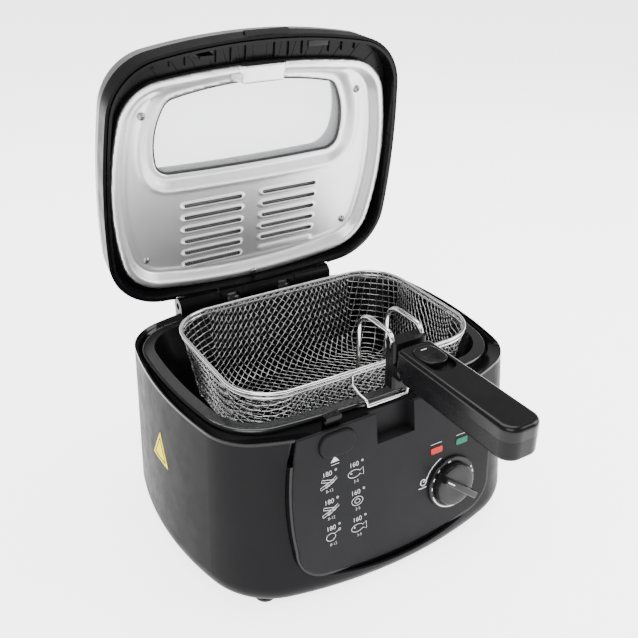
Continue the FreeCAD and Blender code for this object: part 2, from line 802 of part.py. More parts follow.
arm = cylinder(7.5, 72, (-36, 0, 0), X_AXIS).fuse(box(-36, 36, -9.2, 0, -2, 11.8))
arm = arm.cut(cylinder(pin_r + 0.02, 100, (-50, 0, 0), X_AXIS))
for side in (-1, 1):
    x0, x1 = sorted((side * 19.4, side * 30.6))
    arm = arm.cut(box(x0, x1, -5, 10, -10, 6.2))
feature("lid_hinge_arm", solid_of(arm.removeSplitter()), "lid")
feature("hinge_pin", cylinder(pin_r, 142, (-71, 0, 0), X_AXIS), "lid")

springs = []
for side in (-1, 1):
    spring = turned(coil(4.0, 0.55, 8.4, 6), Y_AXIS, 90, (side * 25 - 4.2, 0, 0))
    springs.append(spring)
feature("hinge_springs", Part.makeCompound(springs), "lid")


def hinge_relief():
    """Room for the hinge bracket in the lid's back edge."""
    return box(-74.5, 74.5, -9.3, 10, -10, 12)


def vent_opening(grow=0.0):
    return box(-50 - grow, 50 + grow, -84 - grow, -36 + grow, 30, 60)


def lid_shell():
    tall = dim("lid_tall")
    wall = dim("lid_wall")
    outer = loft(LID.wire(0.4, -0.8), LID.wire(tall, 4))
    outer = outer.makeFillet(24, level_edges(outer, tall))
    inner = loft(LID.wire(0.3, wall - 0.8), LID.wire(tall - wall, 4 + wall))
    inner = inner.makeFillet(22, level_edges(inner, tall - wall))
    shell = outer.cut(inner).cut(WINDOW.prism(20, 80, -6)).cut(hinge_relief()).cut(vent_opening())
    return solid_of(shell)


feature("lid_shell", lid_shell(), "lid")


def lid_frame():
    """The black inner frame: a wall that stands behind the shell's edge, and a ribbed shelf."""
    low = -dim("lid_rim")
    frame = loft(LID.wire(low, 1.9), LID.wire(14, 3.5))
    frame = frame.cut(loft(LID.wire(low - 0.1, 3.9), LID.wire(11.8, 5.5)))
    frame = frame.cut(PLATE.prism(5, 20, 4))
    for x in (-84, -72, -60, -36, -24, -12, 12, 24, 36, 60, 72, 84):
        rib = box(x - 0.4, x + 0.4, -225, -202, 10, 12).common(LID.prism(low, 14, 4.5))
        frame = frame.fuse(rib)
    return solid_of(frame.cut(hinge_relief()).removeSplitter())


feature("lid_frame", lid_frame(), "lid")

seal = PLATE.prism(6.6, 11.6, 0.5).cut(PLATE.prism(5, 20, 3.5)).cut(cylinder(2.0, 10, (0, -14.4, 4)))
feature("lid_seal", solid_of(seal), "lid")

SCREW_SPOTS = [(-93.2, -166.6), (93.2, -166.6), (-94.5, -42.6), (94.5, -42.6)]
LOUVRE_PITCH = 11.1
LOUVRE_FIRST = -30.6


def lid_inner_plate():
    """The pressed aluminium plate: a flange, a step up to the field, louvres and the window."""
    flange = dim("plate_flange_z")
    field = dim("plate_z")
    thick = dim("plate_thick")
    plate = PLATE.prism(flange - 0.5, flange + 0.5)
    plate = plate.fuse(loft(PLATE.wire(flange - 0.5, 6), PLATE.wire(field + thick, 10)))
    plate = plate.cut(loft(PLATE.wire(flange - 0.6, 7), PLATE.wire(field, 11)))
    plate = plate.fuse(WINDOW.prism(field + 0.5, dim("window_seat"), -1.2)).cut(WINDOW.prism(0, 40, 0.5))
    for row in range(6):
        y = LOUVRE_FIRST - row * LOUVRE_PITCH
        for side in (-1, 1):
            x0, x1 = sorted((side * 7.6, side * 63.3))
            plate = plate.cut(box(x0, x1, y - 1.9, y + 1.9, 10, 20))
    for x, y in SCREW_SPOTS:
        plate = plate.cut(cylinder(1.7, 10, (x, y, 10)))
    plate = plate.cut(cylinder(1.7, 10, (0, -14.4, 2)))
    return solid_of(plate)


feature("lid_inner_plate", lid_inner_plate(), "lid")

lid_screws = []
for x, y in SCREW_SPOTS:
    head = cylinder(3.2, 1.4, (x, y, dim("plate_z") - 1.4))
    screw = head.fuse(cylinder(1.6, 7, (x, y, dim("plate_z") - 1)))
    lid_screws.append(screw.removeSplitter())
flange_z = dim("plate_flange_z") - 0.5
flange_head = cylinder(3.2, 1.4, (0, -14.4, flange_z - 1.4))
flange_screw = flange_head.fuse(cylinder(1.6, 5, (0, -14.4, flange_z - 1)))
lid_screws.append(flange_screw.removeSplitter())
feature("lid_plate_screws", Part.makeCompound(lid_screws), "lid")

seat = dim("window_seat")
window_seal = WINDOW.prism(seat + 0.05, seat + 2.0, -3).cut(WINDOW.prism(10, 30, 1.8))
feature("window_gasket", solid_of(window_seal), "lid")
feature("inner_window", WINDOW.prism(seat + 2.1, seat + 4.1, -3), "lid")
feature("outer_window", WINDOW.prism(43.6, 45.8, -5.7), "lid")
feature("filter_screen", box(-68, 68, -92, -26, 16.1, 16.6), "lid")
feature("filter_pad", box(-66, 66, -90, -28, 16.9, 25), "lid")

cover = box(-49.7, 49.7, -83.7, -36.3, 43.6, 46.2)
for row in range(5):
    for side in (-1, 1):
        x0, x1 = sorted((side * 4.0, side * 44.0))
        y = -44 - row * 8
        cover = cover.cut(box(x0, x1, y - 1.6, y + 1.6, 40, 50))
feature("vent_cover", solid_of(cover), "lid")

feature("lid_grip", box(-18, 18, -225.6, -222.7, 1.5, 5.5), "lid")

striker = box(-54, -43, -212.0, -210.8, -1, 11.5).fuse(box(-54, -43, -212.0, -209.6, -1, 1.4))
feature("latch_striker", solid_of(striker.removeSplitter()), "lid")

# ---------------------------------------------------------------- basket

rim_z = dim("basket_rim_z")
deep = dim("basket_deep")


def basket_mesh():
    """The basket's wire cloth as one thin shell of the same shape."""
    taper = dim("basket_taper")
    thick = dim("mesh_thick")
    top = rim_z - 1.6
    floor = rim_z - deep
    outer = loft(BASKET.wire(floor, taper), BASKET.wire(top, 0.3))
    outer = outer.makeFillet(dim("basket_floor_round"), level_edges(outer, floor))
    inner = loft(BASKET.wire(floor + thick, taper + thick), BASKET.wire(top + 1, thick + 0.2))
    inner = inner.makeFillet(dim("basket_floor_round") - thick, level_edges(inner, floor + thick))
    return solid_of(outer.cut(inner))


feature("basket_mesh", basket_mesh())

rim_path = BASKET.wire(rim_z)
rim_start = rim_path.OrderedEdges[0]
rim_heading = rim_start.tangentAt(rim_start.FirstParameter)
rim_point = rim_start.valueAt(rim_start.FirstParameter)
rim_ring = Part.Wire(Part.makeCircle(dim("rim_wire_r"), rim_point, rim_heading))
feature("basket_rim", rim_path.makePipeShell([rim_ring], True, False))

hook_run = [(-19, -70.4, 155.2), (-19, -70.4, 147.5), (-18.6, -79, 144.4), (-17.6, -86.6, 143.2),
            (-17.3, -86.8, 138.4), (17.3, -86.8, 138.4), (17.6, -86.6, 143.2), (18.6, -79, 144.4),
            (19, -70.4, 147.5), (19, -70.4, 155.2)]
feature("basket_hook", pipe(hook_run, dim("hook_wire_r"), 1.6))

loops = []
for side in (-1, 1):
    x = side * dim("loop_half")
    run = [(x, -66.2, 155.6), (x, -66.2, 202.2), (x, -104.6, 202.2), (x, -104.6, 192.5)]
    loops.append(pipe(run, dim("loop_wire_r"), (0, 9.5, 5, 0)))
feature("handle_wires", Part.makeCompound(loops))

pivot_y = -dim("pivot_y")
pivot_z = dim("pivot_z")
pivot_r = dim("pivot_r")
ear_r = 4.5


def handle_bracket():
    half = dim("bracket_half")
    front = -dim("bracket_front")
    block = box(-half, half, front, -dim("bracket_back"), dim("bracket_bottom"), dim("bracket_top"))
    block = block.makeFillet(2.5, [e for e in block.Edges if upright(e)])
    for side in (-1, 1):
        x0, x1 = sorted((side * 9.0, side * half))
        block = block.fuse(cylinder(ear_r, x1 - x0, (x0, pivot_y, pivot_z), X_AXIS))
        block = block.fuse(box(x0, x1, pivot_y, front + 4, pivot_z - ear_r, pivot_z + ear_r))
        block = block.cut(cylinder(dim("loop_wire_r") + 0.04, 9, (side * dim("loop_half"), -104.6, 190)))
    block = block.cut(cylinder(pivot_r + 0.02, 60, (-30, pivot_y, pivot_z), X_AXIS))
    return solid_of(block.removeSplitter())


feature("handle_bracket", handle_bracket())
feature("handle_pivot_pin", cylinder(pivot_r, 2 * dim("bracket_half") - 1,
                                     (0.5 - dim("bracket_half"), pivot_y, pivot_z), X_AXIS))

# ---------------------------------------------------------------- handle on the basket


def handle_block(low, high):
    """The handle's outer form between two heights: a bar with a round end and round edges."""
    half = dim("handle_half")
    start = -dim("handle_start")
    end = -dim("handle_end")
    bottom = dim("handle_bottom")
    top = dim("handle_top")
    block = box(-half, half, end, start, bottom, top)
    block = block.makeFillet(9.5, [e for e in block.Edges if upright(e) and e.BoundBox.YMax < end + 1])
    block = block.makeFillet(4.0, [e for e in block.Edges if upright(e) and e.BoundBox.YMax > start - 1])
    block = block.makeFillet(3.2, level_edges(block, top))
    block = block.makeFillet(2.5, level_edges(block, bottom))
    return block.common(box(-half - 1, half + 1, end - 1, start + 1, low, high))


def pivot_relief():
    """Room for the bracket's two ears and for the handle's swing down about the pin."""
    reach = pivot_y - ear_r - 0.5
    relief = box(-30, 30, pivot_y, -100, 160, pivot_z + ear_r + 0.5)
    for side in (-1, 1):
        x0, x1 = sorted((side * 8.7, side * 20))
        relief = relief.fuse(box(x0, x1, reach, -100, 160, pivot_z + ear_r + 0.5))
    return relief


HANDLE_SCREWS_Y = (-165.0, -198.0)


def handle_lower():
    seam = dim("handle_seam")
    bottom = dim("handle_bottom")
    shell = handle_block(bottom, seam)
    shell = shell.cut(box(-10.5, 10.5, -205, -124, bottom + 3, seam + 1))
    shell = shell.cut(pivot_relief())
    tongue = box(-8.7, 8.7, pivot_y - 8, pivot_y, pivot_z - ear_r, pivot_z + ear_r)
    shell = shell.fuse(cylinder(ear_r, 17.4, (-8.7, pivot_y, pivot_z), X_AXIS).fuse(tongue))
    shell = shell.cut(cylinder(pivot_r + dim("running_fit"), 60, (-30, pivot_y, pivot_z), X_AXIS))
    for y in HANDLE_SCREWS_Y:
        shell = shell.cut(cylinder(1.5, 10, (0, y, bottom - 1)))
        shell = shell.cut(cylinder(2.8, 2.5, (0, y, bottom - 1)))
    return solid_of(shell.removeSplitter())


feature("handle_lower_shell", handle_lower())

SLIDE_FRONT = -118.0
SLIDE_BACK = -140.0
SLIDE_TRAVEL = 8.0


def handle_upper():
    seam = dim("handle_seam")
    top = dim("handle_top")
    shell = handle_block(seam + 0.1, top + 1)
    shell = shell.cut(box(-10.5, 10.5, -205, -150, seam - 1, top - 2.2))
    trough = box(-9.2, 9.2, SLIDE_BACK - SLIDE_TRAVEL - 0.6, SLIDE_FRONT + 0.4, top - 3.2, top + 5)
    trough = trough.makeFillet(8, [e for e in trough.Edges if upright(e)])
    return solid_of(shell.cut(trough))


feature("handle_upper_shell", handle_upper())

slider = new_body("handle_slide_button", y=f"{(SLIDE_FRONT + SLIDE_BACK) / 2}", z="dims.handle_top - 3.0")
slider_face = sketch_on(slider, "slider_face")
draw_rectangle(slider_face, "17.6", f"{SLIDE_FRONT - SLIDE_BACK}")
slider_sides = round_edges(slider, pad(slider, slider_face, "4.2"), "7.6", upright)
round_edges(slider, slider_sides, "0.8", at_height(4.2))

handle_screws = []
for y in HANDLE_SCREWS_Y:
    low = dim("handle_bottom")
    head = cylinder(2.6, 1.2, (0, y, low + 0.2)).fuse(cylinder(1.4, 8, (0, y, low + 1.2)))
    handle_screws.append(head.removeSplitter())
feature("handle_screws", Part.makeCompound(handle_screws))

# ---------------------------------------------------------------- checks and files

doc.recompute()
failed = [o.Name for o in doc.Objects if {"Invalid", "Error"} & set(o.State)]
if failed:
    raise RuntimeError(f"objects failed: {failed}")
os.makedirs("parts", exist_ok=True)
for obj in nodes:
    shape = obj.Shape
    if shape.isNull() or not shape.isValid():
        raise RuntimeError(f"{obj.Label} has no valid shape")
    shape.exportStep(f"parts/{obj.Label}.step")
whole = Part.makeCompound([obj.Shape for obj in nodes]).BoundBox
print(f"{len(nodes)} nodes, X {whole.XMin:.2f}..{whole.XMax:.2f}, "
      f"Y {whole.YMin:.2f}..{whole.YMax:.2f}, Z {whole.ZMin:.2f}..{whole.ZMax:.2f}")
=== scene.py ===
"""Looks for the deep fryer: woven basket, pressed lid plate, knob, printed panel, finishes, camera."""

import json
import math

import bmesh
import bpy
import numpy as np
from mathutils import Matrix, Vector
from mathutils.bvhtree import BVHTree

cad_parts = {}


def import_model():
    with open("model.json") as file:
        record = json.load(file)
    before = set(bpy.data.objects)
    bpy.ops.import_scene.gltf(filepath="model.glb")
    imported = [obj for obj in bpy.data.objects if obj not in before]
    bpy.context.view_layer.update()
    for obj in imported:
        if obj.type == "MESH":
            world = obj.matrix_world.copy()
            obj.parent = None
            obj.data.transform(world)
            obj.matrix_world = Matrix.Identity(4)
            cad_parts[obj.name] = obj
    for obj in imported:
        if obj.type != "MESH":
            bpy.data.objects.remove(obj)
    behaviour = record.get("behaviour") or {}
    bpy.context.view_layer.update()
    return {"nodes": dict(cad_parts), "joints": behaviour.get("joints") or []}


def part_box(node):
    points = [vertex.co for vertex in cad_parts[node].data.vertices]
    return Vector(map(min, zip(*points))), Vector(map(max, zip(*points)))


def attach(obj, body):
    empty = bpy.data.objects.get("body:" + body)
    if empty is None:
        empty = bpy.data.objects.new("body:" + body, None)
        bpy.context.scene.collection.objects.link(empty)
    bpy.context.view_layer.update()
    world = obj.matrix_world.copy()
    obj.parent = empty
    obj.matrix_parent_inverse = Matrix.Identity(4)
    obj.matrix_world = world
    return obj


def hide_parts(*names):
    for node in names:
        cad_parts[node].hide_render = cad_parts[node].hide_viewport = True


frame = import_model()
nodes = frame["nodes"]
MM = 0.001
# Bands per metre that a wave texture draws at scale 1.
BANDS_PER_SCALE = 3.18
# How far a lathe profile's ends stop from the axis, in millimetres.
AXIS_GAP = 0.0001
# Sockets of a Mix node that is set to colours.
MIX_A, MIX_B, MIX_RESULT = 6, 7, 2

# ---------------------------------------------------------------- places read from the frame

rim_low, rim_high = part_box("basket_rim")
RIM_WIRE = (rim_high.z - rim_low.z) / 2
BASKET_Y = (rim_low.y + rim_high.y) / 2
RIM_Z = (rim_low.z + rim_high.z) / 2
RIM_HALF = Vector(((rim_high.x - rim_low.x) / 2 - RIM_WIRE, (rim_high.y - rim_low.y) / 2 - RIM_WIRE))
BASKET_CORNER = 34 * MM
LOOP_WIRE_R = 1.6 * MM
BASKET_DEEP = RIM_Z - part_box("basket_mesh")[0].z

lid_joint = next(j for j in frame["joints"] if j["name"] == "lid_hinge")
HINGE = Vector(lid_joint["pos_m"])
LID_OPEN = math.radians(-79.75)
LID_FRAME = Matrix.Translation(HINGE) @ Matrix.Rotation(LID_OPEN, 4, "X")
LID_BAND_TOP = 19 * MM

PANEL_LEAN = math.radians(7.64)
knob_joint = next(j for j in frame["joints"] if j["name"] == "knob_turn")
KNOB_X, KNOB_Y = 47.6, -78.5
KNOB_TURN = -39.7
KNOB_PLACE = Vector((KNOB_X, KNOB_Y, 0)) * MM
PANEL_TURN = Matrix.Rotation(math.radians(90) - PANEL_LEAN, 4, "X")
PANEL_FRAME = Matrix.Translation(Vector(knob_joint["pos_m"])) @ PANEL_TURN @ Matrix.Translation(-KNOB_PLACE)

# ---------------------------------------------------------------- materials


def new_material(name):
    material = bpy.data.materials.new(name)
    material.use_nodes = True
    tree = material.node_tree
    return material, tree, tree.nodes["Principled BSDF"]


def noise(tree, scale, detail, rough=0.55):
    place = tree.nodes.new("ShaderNodeTexCoord")
    texture = tree.nodes.new("ShaderNodeTexNoise")
    texture.inputs["Scale"].default_value = scale
    texture.inputs["Detail"].default_value = detail
    texture.inputs["Roughness"].default_value = rough
    tree.links.new(place.outputs["Object"], texture.inputs["Vector"])
    return texture.outputs["Fac"]


def ramp(tree, source, low, high, start=0.35, end=0.65):
    """A colour ramp from low to high; both are colours or greys."""
    node = tree.nodes.new("ShaderNodeValToRGB")
    node.color_ramp.elements[0].position = start
    node.color_ramp.elements[1].position = end
    for element, value in zip(node.color_ramp.elements, (low, high)):
        colour = value if isinstance(value, tuple) else (value, value, value)
        element.color = (*colour, 1)
    tree.links.new(source, node.inputs["Fac"])
    return node.outputs["Color"]


def bump(tree, shader, source, strength, distance):
    node = tree.nodes.new("ShaderNodeBump")
    node.inputs["Strength"].default_value = strength
    node.inputs["Distance"].default_value = distance
    tree.links.new(source, node.inputs["Height"])
    tree.links.new(node.outputs["Normal"], shader.inputs["Normal"])


def plastic(name, low, high, rough, grain, grain_depth, shine=0.2):
    """Moulded plastic: slow colour drift, a fine moulded grain and uneven gloss."""
    material, tree, shader = new_material(name)
    drift = noise(tree, 9, 3)
    tree.links.new(ramp(tree, drift, low, high, 0.3, 0.7), shader.inputs["Base Color"])
    wear = noise(tree, 60, 6, 0.65)
    tree.links.new(ramp(tree, wear, rough * 0.85, min(1, rough * 1.2)), shader.inputs["Roughness"])
    bump(tree, shader, noise(tree, grain, 2), grain_depth, 0.08 * MM)
    shader.inputs["Specular IOR Level"].default_value = shine
    return material


def metal(name, low, high, rough, scale, depth=0.15):
    """Bare or plated metal with fine polishing marks."""
    material, tree, shader = new_material(name)
    marks = noise(tree, scale, 6, 0.6)
    tree.links.new(ramp(tree, noise(tree, 14, 4), low, high, 0.3, 0.7), shader.inputs["Base Color"])
    tree.links.new(ramp(tree, marks, rough * 0.75, min(1, rough * 1.3)), shader.inputs["Roughness"])
    bump(tree, shader, marks, depth, 0.06 * MM)
    shader.inputs["Metallic"].default_value = 1.0
    return material


def glass(name, colour, rough, alpha):
    """A clear pane with faint smears."""
    material, tree, shader = new_material(name)
    smear = noise(tree, 18, 5, 0.6)
    tree.links.new(ramp(tree, smear, rough * 0.6, rough * 2.2), shader.inputs["Roughness"])
    tint = tuple(c * 0.97 for c in colour)
    tree.links.new(ramp(tree, smear, tint, colour), shader.inputs["Base Color"])
    shader.inputs["Alpha"].default_value = alpha
    shader.inputs["IOR"].default_value = 1.5
    return material


def lamp(name, colour, glow):
    """A moulded lens with a bulb's glow behind it."""
    material, tree, shader = new_material(name)
    cells = noise(tree, 700, 2)
    dim = tuple(c * 0.6 for c in colour)
    tree.links.new(ramp(tree, cells, dim, colour), shader.inputs["Base Color"])
    tree.links.new(ramp(tree, cells, dim, colour), shader.inputs["Emission Color"])
    shader.inputs["Emission Strength"].default_value = glow
    shader.inputs["Specular IOR Level"].default_value = 0.15
    shader.inputs["Roughness"].default_value = 0.2
    bump(tree, shader, cells, 0.3, 0.2 * MM)
    return material


def lid_cover(name, silver, band, edge_z):
    """Silver paint above a black band round the lid's edge, with fine metal flake in the paint."""
    material, tree, shader = new_material(name)
    across = LID_FRAME.inverted()[2]
    spot = tree.nodes.new("ShaderNodeTexCoord")
    height = tree.nodes.new("ShaderNodeVectorMath")
    height.operation = "DOT_PRODUCT"
    height.inputs[1].default_value = across[:3]
    tree.links.new(spot.outputs["Object"], height.inputs[0])
    share = tree.nodes.new("ShaderNodeMapRange")
    share.inputs["From Min"].default_value = edge_z - across[3] - 0.1 * MM
    share.inputs["From Max"].default_value = edge_z - across[3] + 0.1 * MM
    tree.links.new(height.outputs["Value"], share.inputs["Value"])
    flake = ramp(tree, noise(tree, 2500, 2), tuple(c * 0.85 for c in silver), silver)
    black = ramp(tree, noise(tree, 60, 4), tuple(c * 0.7 for c in band), band)
    mix = tree.nodes.new("ShaderNodeMix")
    mix.data_type = "RGBA"
    tree.links.new(share.outputs["Result"], mix.inputs["Factor"])
    tree.links.new(black, mix.inputs[MIX_A])
    tree.links.new(flake, mix.inputs[MIX_B])
    tree.links.new(mix.outputs[MIX_RESULT], shader.inputs["Base Color"])
    shine = tree.nodes.new("ShaderNodeMapRange")
    shine.inputs["To Max"].default_value = 0.75
    tree.links.new(share.outputs["Result"], shine.inputs["Value"])
    tree.links.new(shine.outputs["Result"], shader.inputs["Metallic"])
    tree.links.new(ramp(tree, noise(tree, 60, 5), 0.28, 0.4), shader.inputs["Roughness"])
    shader.inputs["Specular IOR Level"].default_value = 0.06
    bump(tree, shader, noise(tree, 1400, 2), 0.1, 0.06 * MM)
    return material


def speckled(name, base, fleck, rough):
    """Non-stick coating: dark with fine pale flecks."""
    material, tree, shader = new_material(name)
    flecks = noise(tree, 1500, 2, 0.5)
    tree.links.new(ramp(tree, flecks, base, fleck, 0.62, 0.74), shader.inputs["Base Color"])
    tree.links.new(ramp(tree, noise(tree, 40, 5), rough * 0.8, rough * 1.3), shader.inputs["Roughness"])
    bump(tree, shader, noise(tree, 500, 3), 0.3, 0.1 * MM)
    return material


def woven(name, wire, gap_shade, pitch):
    """Fine wire cloth, too fine to be modelled wire by wire; the gaps between the wires are painted near
    black, a painted shade of the dim space behind the cloth.
    """
    material, tree, shader = new_material(name)
    place = tree.nodes.new("ShaderNodeTexCoord")
    waves = []
    for direction in ("X", "Z"):
        wave = tree.nodes.new("ShaderNodeTexWave")
        wave.wave_type = "BANDS"
        wave.bands_direction = direction
        wave.inputs["Scale"].default_value = 1 / pitch / BANDS_PER_SCALE
        tree.links.new(place.outputs["Object"], wave.inputs["Vector"])
        waves.append(wave.outputs["Fac"])
    mix = tree.nodes.new("ShaderNodeMath")
    mix.operation = "MAXIMUM"
    tree.links.new(waves[0], mix.inputs[0])
    tree.links.new(waves[1], mix.inputs[1])
    # The gaps between the wires take the near-black colour: painted shade, not a colour of the cloth.
    tree.links.new(ramp(tree, mix.outputs[0], gap_shade, wire, 0.55, 0.8), shader.inputs["Base Color"])
    bump(tree, shader, mix.outputs[0], 0.6, 0.3 * MM)
    shader.inputs["Metallic"].default_value = 0.8
    shader.inputs["Roughness"].default_value = 0.4
    return material


CASING = plastic("casing_satin", (0.009, 0.009, 0.0097), (0.0115, 0.0115, 0.0122), 0.36, 1400, 0.05,
                 shine=0.025)
COLLAR = plastic("collar_gloss", (0.003, 0.003, 0.0035), (0.005, 0.005, 0.0055), 0.12, 700, 0.05)
PANEL = plastic("panel_satin", (0.0095, 0.0095, 0.0103), (0.0125, 0.0125, 0.0134), 0.38, 1200, 0.06,
                shine=0.05)
LID_SILVER = lid_cover("lid_cover", (0.3, 0.3, 0.305), (0.004, 0.004, 0.0045), LID_BAND_TOP)
BLACK_MATT = plastic("black_matt", (0.0025, 0.0025, 0.003), (0.0045, 0.0045, 0.005), 0.24, 1000, 0.08,
                     shine=0.1)
GRIP_TOP = plastic("grip_satin", (0.0035, 0.0035, 0.0038), (0.0055, 0.0055, 0.006), 0.2, 1300, 0.04,
                   shine=0.17)
GRIP_LOW = plastic("grip_dark", (0.0025, 0.0025, 0.003), (0.0045, 0.0045, 0.005), 0.28, 1100, 0.03,
                   shine=0.12)
KNOB = plastic("knob_satin", (0.007, 0.007, 0.0075), (0.01, 0.01, 0.0105), 0.22, 1300, 0.06, shine=0.16)
RUBBER = plastic("rubber_matt", (0.012, 0.012, 0.012), (0.024, 0.024, 0.024), 0.8, 500, 0.5)
SILICONE = plastic("seal_silicone", (0.02, 0.02, 0.021), (0.034, 0.034, 0.035), 0.55, 600, 0.3)
CREAM = plastic("terminal_cream", (0.6, 0.58, 0.52), (0.68, 0.66, 0.6), 0.5, 600, 0.3)
YELLOW = plastic("label_yellow", (0.9, 0.74, 0.0), (0.98, 0.82, 0.0), 0.5, 900, 0.1, shine=0.1)
WHITE_INK = plastic("print_white", (0.55, 0.55, 0.56), (0.66, 0.66, 0.67), 0.6, 2500, 0.2)
FIBRE = plastic("filter_fibre", (0.5, 0.49, 0.45), (0.66, 0.65, 0.6), 0.95, 350, 1.0)
CHROME = metal("chrome_wire", (0.55, 0.55, 0.54), (0.7, 0.7, 0.69), 0.14, 500)
CLOTH_WIRE = metal("cloth_wire", (0.3, 0.3, 0.3), (0.46, 0.46, 0.46), 0.24, 900)
ALUMINIUM = metal("pressed_aluminium", (0.7, 0.7, 0.702), (0.76, 0.76, 0.762), 0.43, 1500, 0.12)
STEEL = metal("plain_steel", (0.2, 0.2, 0.2), (0.32, 0.32, 0.32), 0.3, 300)
POT = speckled("pot_coating", (0.003, 0.003, 0.0033), (0.009, 0.009, 0.0095), 0.2)
PANE = glass("window_pane", (0.9, 0.93, 0.95), 0.03, 0.16)
BULB = glass("bulb_glass", (0.9, 0.9, 0.85), 0.05, 0.5)
RED = lamp("lens_red", (0.5, 0.012, 0.004), 0.12)
GREEN = lamp("lens_green", (0.0, 0.14, 0.075), 0.06)
# The screen's gap colour, near black, is painted shade seen through the cloth.
SCREEN = woven("filter_screen_cloth", (0.38, 0.38, 0.38), (0.01, 0.01, 0.01), 1.6 * MM)

FINISHES = {
    CASING: ["outer_casing"],
    COLLAR: ["panel_trim", "top_collar"],
    PANEL: ["control_panel", "release_button"],
    LID_SILVER: ["lid_shell", "vent_cover"],
    BLACK_MATT: ["lid_frame", "lid_hinge_arm", "hinge_bracket", "base_pan", "latch_hook", "lid_grip",
                 "latch_striker"],
    GRIP_TOP: ["handle_upper_shell", "handle_slide_button"],
    GRIP_LOW: ["handle_lower_shell", "handle_bracket"],
    KNOB: ["control_knob"],
    RUBBER: ["rubber_feet", "cord_gland"],
    SILICONE: ["pot_gasket", "lid_seal", "window_gasket"],
    CREAM: ["terminal_block", "thermostat_body"],
    YELLOW: ["hot_surface_label"],
    FIBRE: ["filter_pad"],
    CHROME: ["basket_rim", "basket_hook", "handle_wires"],
    CLOTH_WIRE: ["basket_mesh"],
    ALUMINIUM: ["lid_inner_plate", "element_plate"],
    STEEL: ["base_screws", "thermostat_bulb", "heating_element", "heat_shield", "thermal_fuse",
            "latch_spring", "knob_shaft", "hinge_pin", "hinge_springs", "lid_plate_screws",
            "handle_pivot_pin", "handle_screws"],
    POT: ["oil_pot"],
    PANE: ["inner_window", "outer_window"],
    BULB: ["indicator_lamps"],
    RED: ["red_lens"],
    GREEN: ["green_lens"],
    SCREEN: ["filter_screen"],
}
for material, names in FINISHES.items():
    for name in names:
        mesh = nodes[name].data
        mesh.materials.clear()
        mesh.materials.append(material)

# ---------------------------------------------------------------- helpers for new pieces


def finish_piece(obj, material, body, replaces=()):
    obj.data.materials.append(material)
    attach(obj, body)
    if replaces:
        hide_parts(*replaces)
    return obj


def mesh_piece(name, vertices, faces, material, body, replaces=(), smooth=True, place=None):
    mesh = bpy.data.meshes.new(name)
    mesh.from_pydata([tuple(v) for v in vertices], [], [tuple(f) for f in faces])
    if place is not None:
        mesh.transform(place)
    mesh.validate()
    if smooth:
        mesh.shade_smooth()
    obj = bpy.data.objects.new(name, mesh)
    bpy.context.scene.collection.objects.link(obj)
    return finish_piece(obj, material, body, replaces)


def bmesh_piece(name, bm, material, body, replaces=(), place=None, bevel=0.0, segments=3):
    bmesh.ops.recalc_face_normals(bm, faces=bm.faces)
    mesh = bpy.data.meshes.new(name)
    bm.to_mesh(mesh)
    bm.free()
    obj = bpy.data.objects.new(name, mesh)
    bpy.context.scene.collection.objects.link(obj)
    if bevel:
        modifier = obj.modifiers.new("round", "BEVEL")
        modifier.width = bevel
        modifier.segments = segments
        modifier.limit_method = "ANGLE"
        modifier.angle_limit = math.radians(35)
        apply_modifiers(obj)
    if place is not None:
        obj.data.transform(place)
    smooth_by_angle(obj)
    return finish_piece(obj, material, body, replaces)


def apply_modifiers(obj):
    graph = bpy.context.evaluated_depsgraph_get()
    graph.update()
    mesh = bpy.data.meshes.new_from_object(obj.evaluated_get(graph))
    obj.modifiers.clear()
    obj.data = mesh


def smooth_by_angle(obj, degrees=35):
    obj.data.shade_smooth()
    obj.data.set_sharp_from_angle(angle=math.radians(degrees))


def tubes(lines, radius, sides):
    """Vertices and faces of round wires; each line is (points, surface normals)."""
    vertices = []
    faces = []
    angles = np.arange(sides) * 2 * math.pi / sides
    for points, normals in lines:
        count = len(points)
        along = np.gradient(points, axis=0)
        along /= np.linalg.norm(along, axis=1)[:, None]
        across = np.cross(along, normals)
        across /= np.linalg.norm(across, axis=1)[:, None]
        up = np.cross(across, along)
        ring = (points[:, None] + radius * (np.cos(angles)[None, :, None] * across[:, None]
                                            + np.sin(angles)[None, :, None] * up[:, None]))
        start = len(vertices)
        vertices.extend(ring.reshape(-1, 3))
        for i in range(count - 1):
            a = start + i * sides
            for k in range(sides):
                n = (k + 1) % sides
                faces.append((a + k, a + n, a + sides + n, a + sides + k))
        faces.append(tuple(start + k for k in reversed(range(sides))))
        faces.append(tuple(start + (count - 1) * sides + k for k in range(sides)))
    return vertices, faces


def curve_mesh(curve):
    """The mesh of a bevelled or extruded curve."""
    holder = bpy.data.objects.new(curve.name, curve)
    bpy.context.scene.collection.objects.link(holder)
    graph = bpy.context.evaluated_depsgraph_get()
    graph.update()
    mesh = bpy.data.meshes.new_from_object(holder.evaluated_get(graph))
    bpy.data.objects.remove(holder)
    return mesh


def closed_tube_piece(name, points, radius, material, body):
    """A round bar along a closed line of points."""
    curve = bpy.data.curves.new(name, "CURVE")
    curve.dimensions = "3D"
    curve.bevel_depth = radius
    curve.bevel_resolution = 4
    spline = curve.splines.new("POLY")
    spline.points.add(len(points) - 1)
    for p, co in zip(spline.points, points):
        p.co = (*co, 1)
    spline.use_cyclic_u = True
    mesh = curve_mesh(curve)
    mesh.shade_smooth()
    obj = bpy.data.objects.new(name, mesh)
    bpy.context.scene.collection.objects.link(obj)
    return finish_piece(obj, material, body)


def rounded_rectangle(centre_x, centre_y, half_x, half_y, corner, steps):
    """The outline of a rectangle with round corners, as (x, y) points."""
    points = []
    for quarter, (sx, sy) in enumerate([(1, 1), (-1, 1), (-1, -1), (1, -1)]):
        for i in range(steps + 1):
            a = math.pi / 2 * (quarter + i / steps)
            points.append((centre_x + sx * (half_x - corner) + corner * math.cos(a),
                           centre_y + sy * (half_y - corner) + corner * math.sin(a)))
    return points


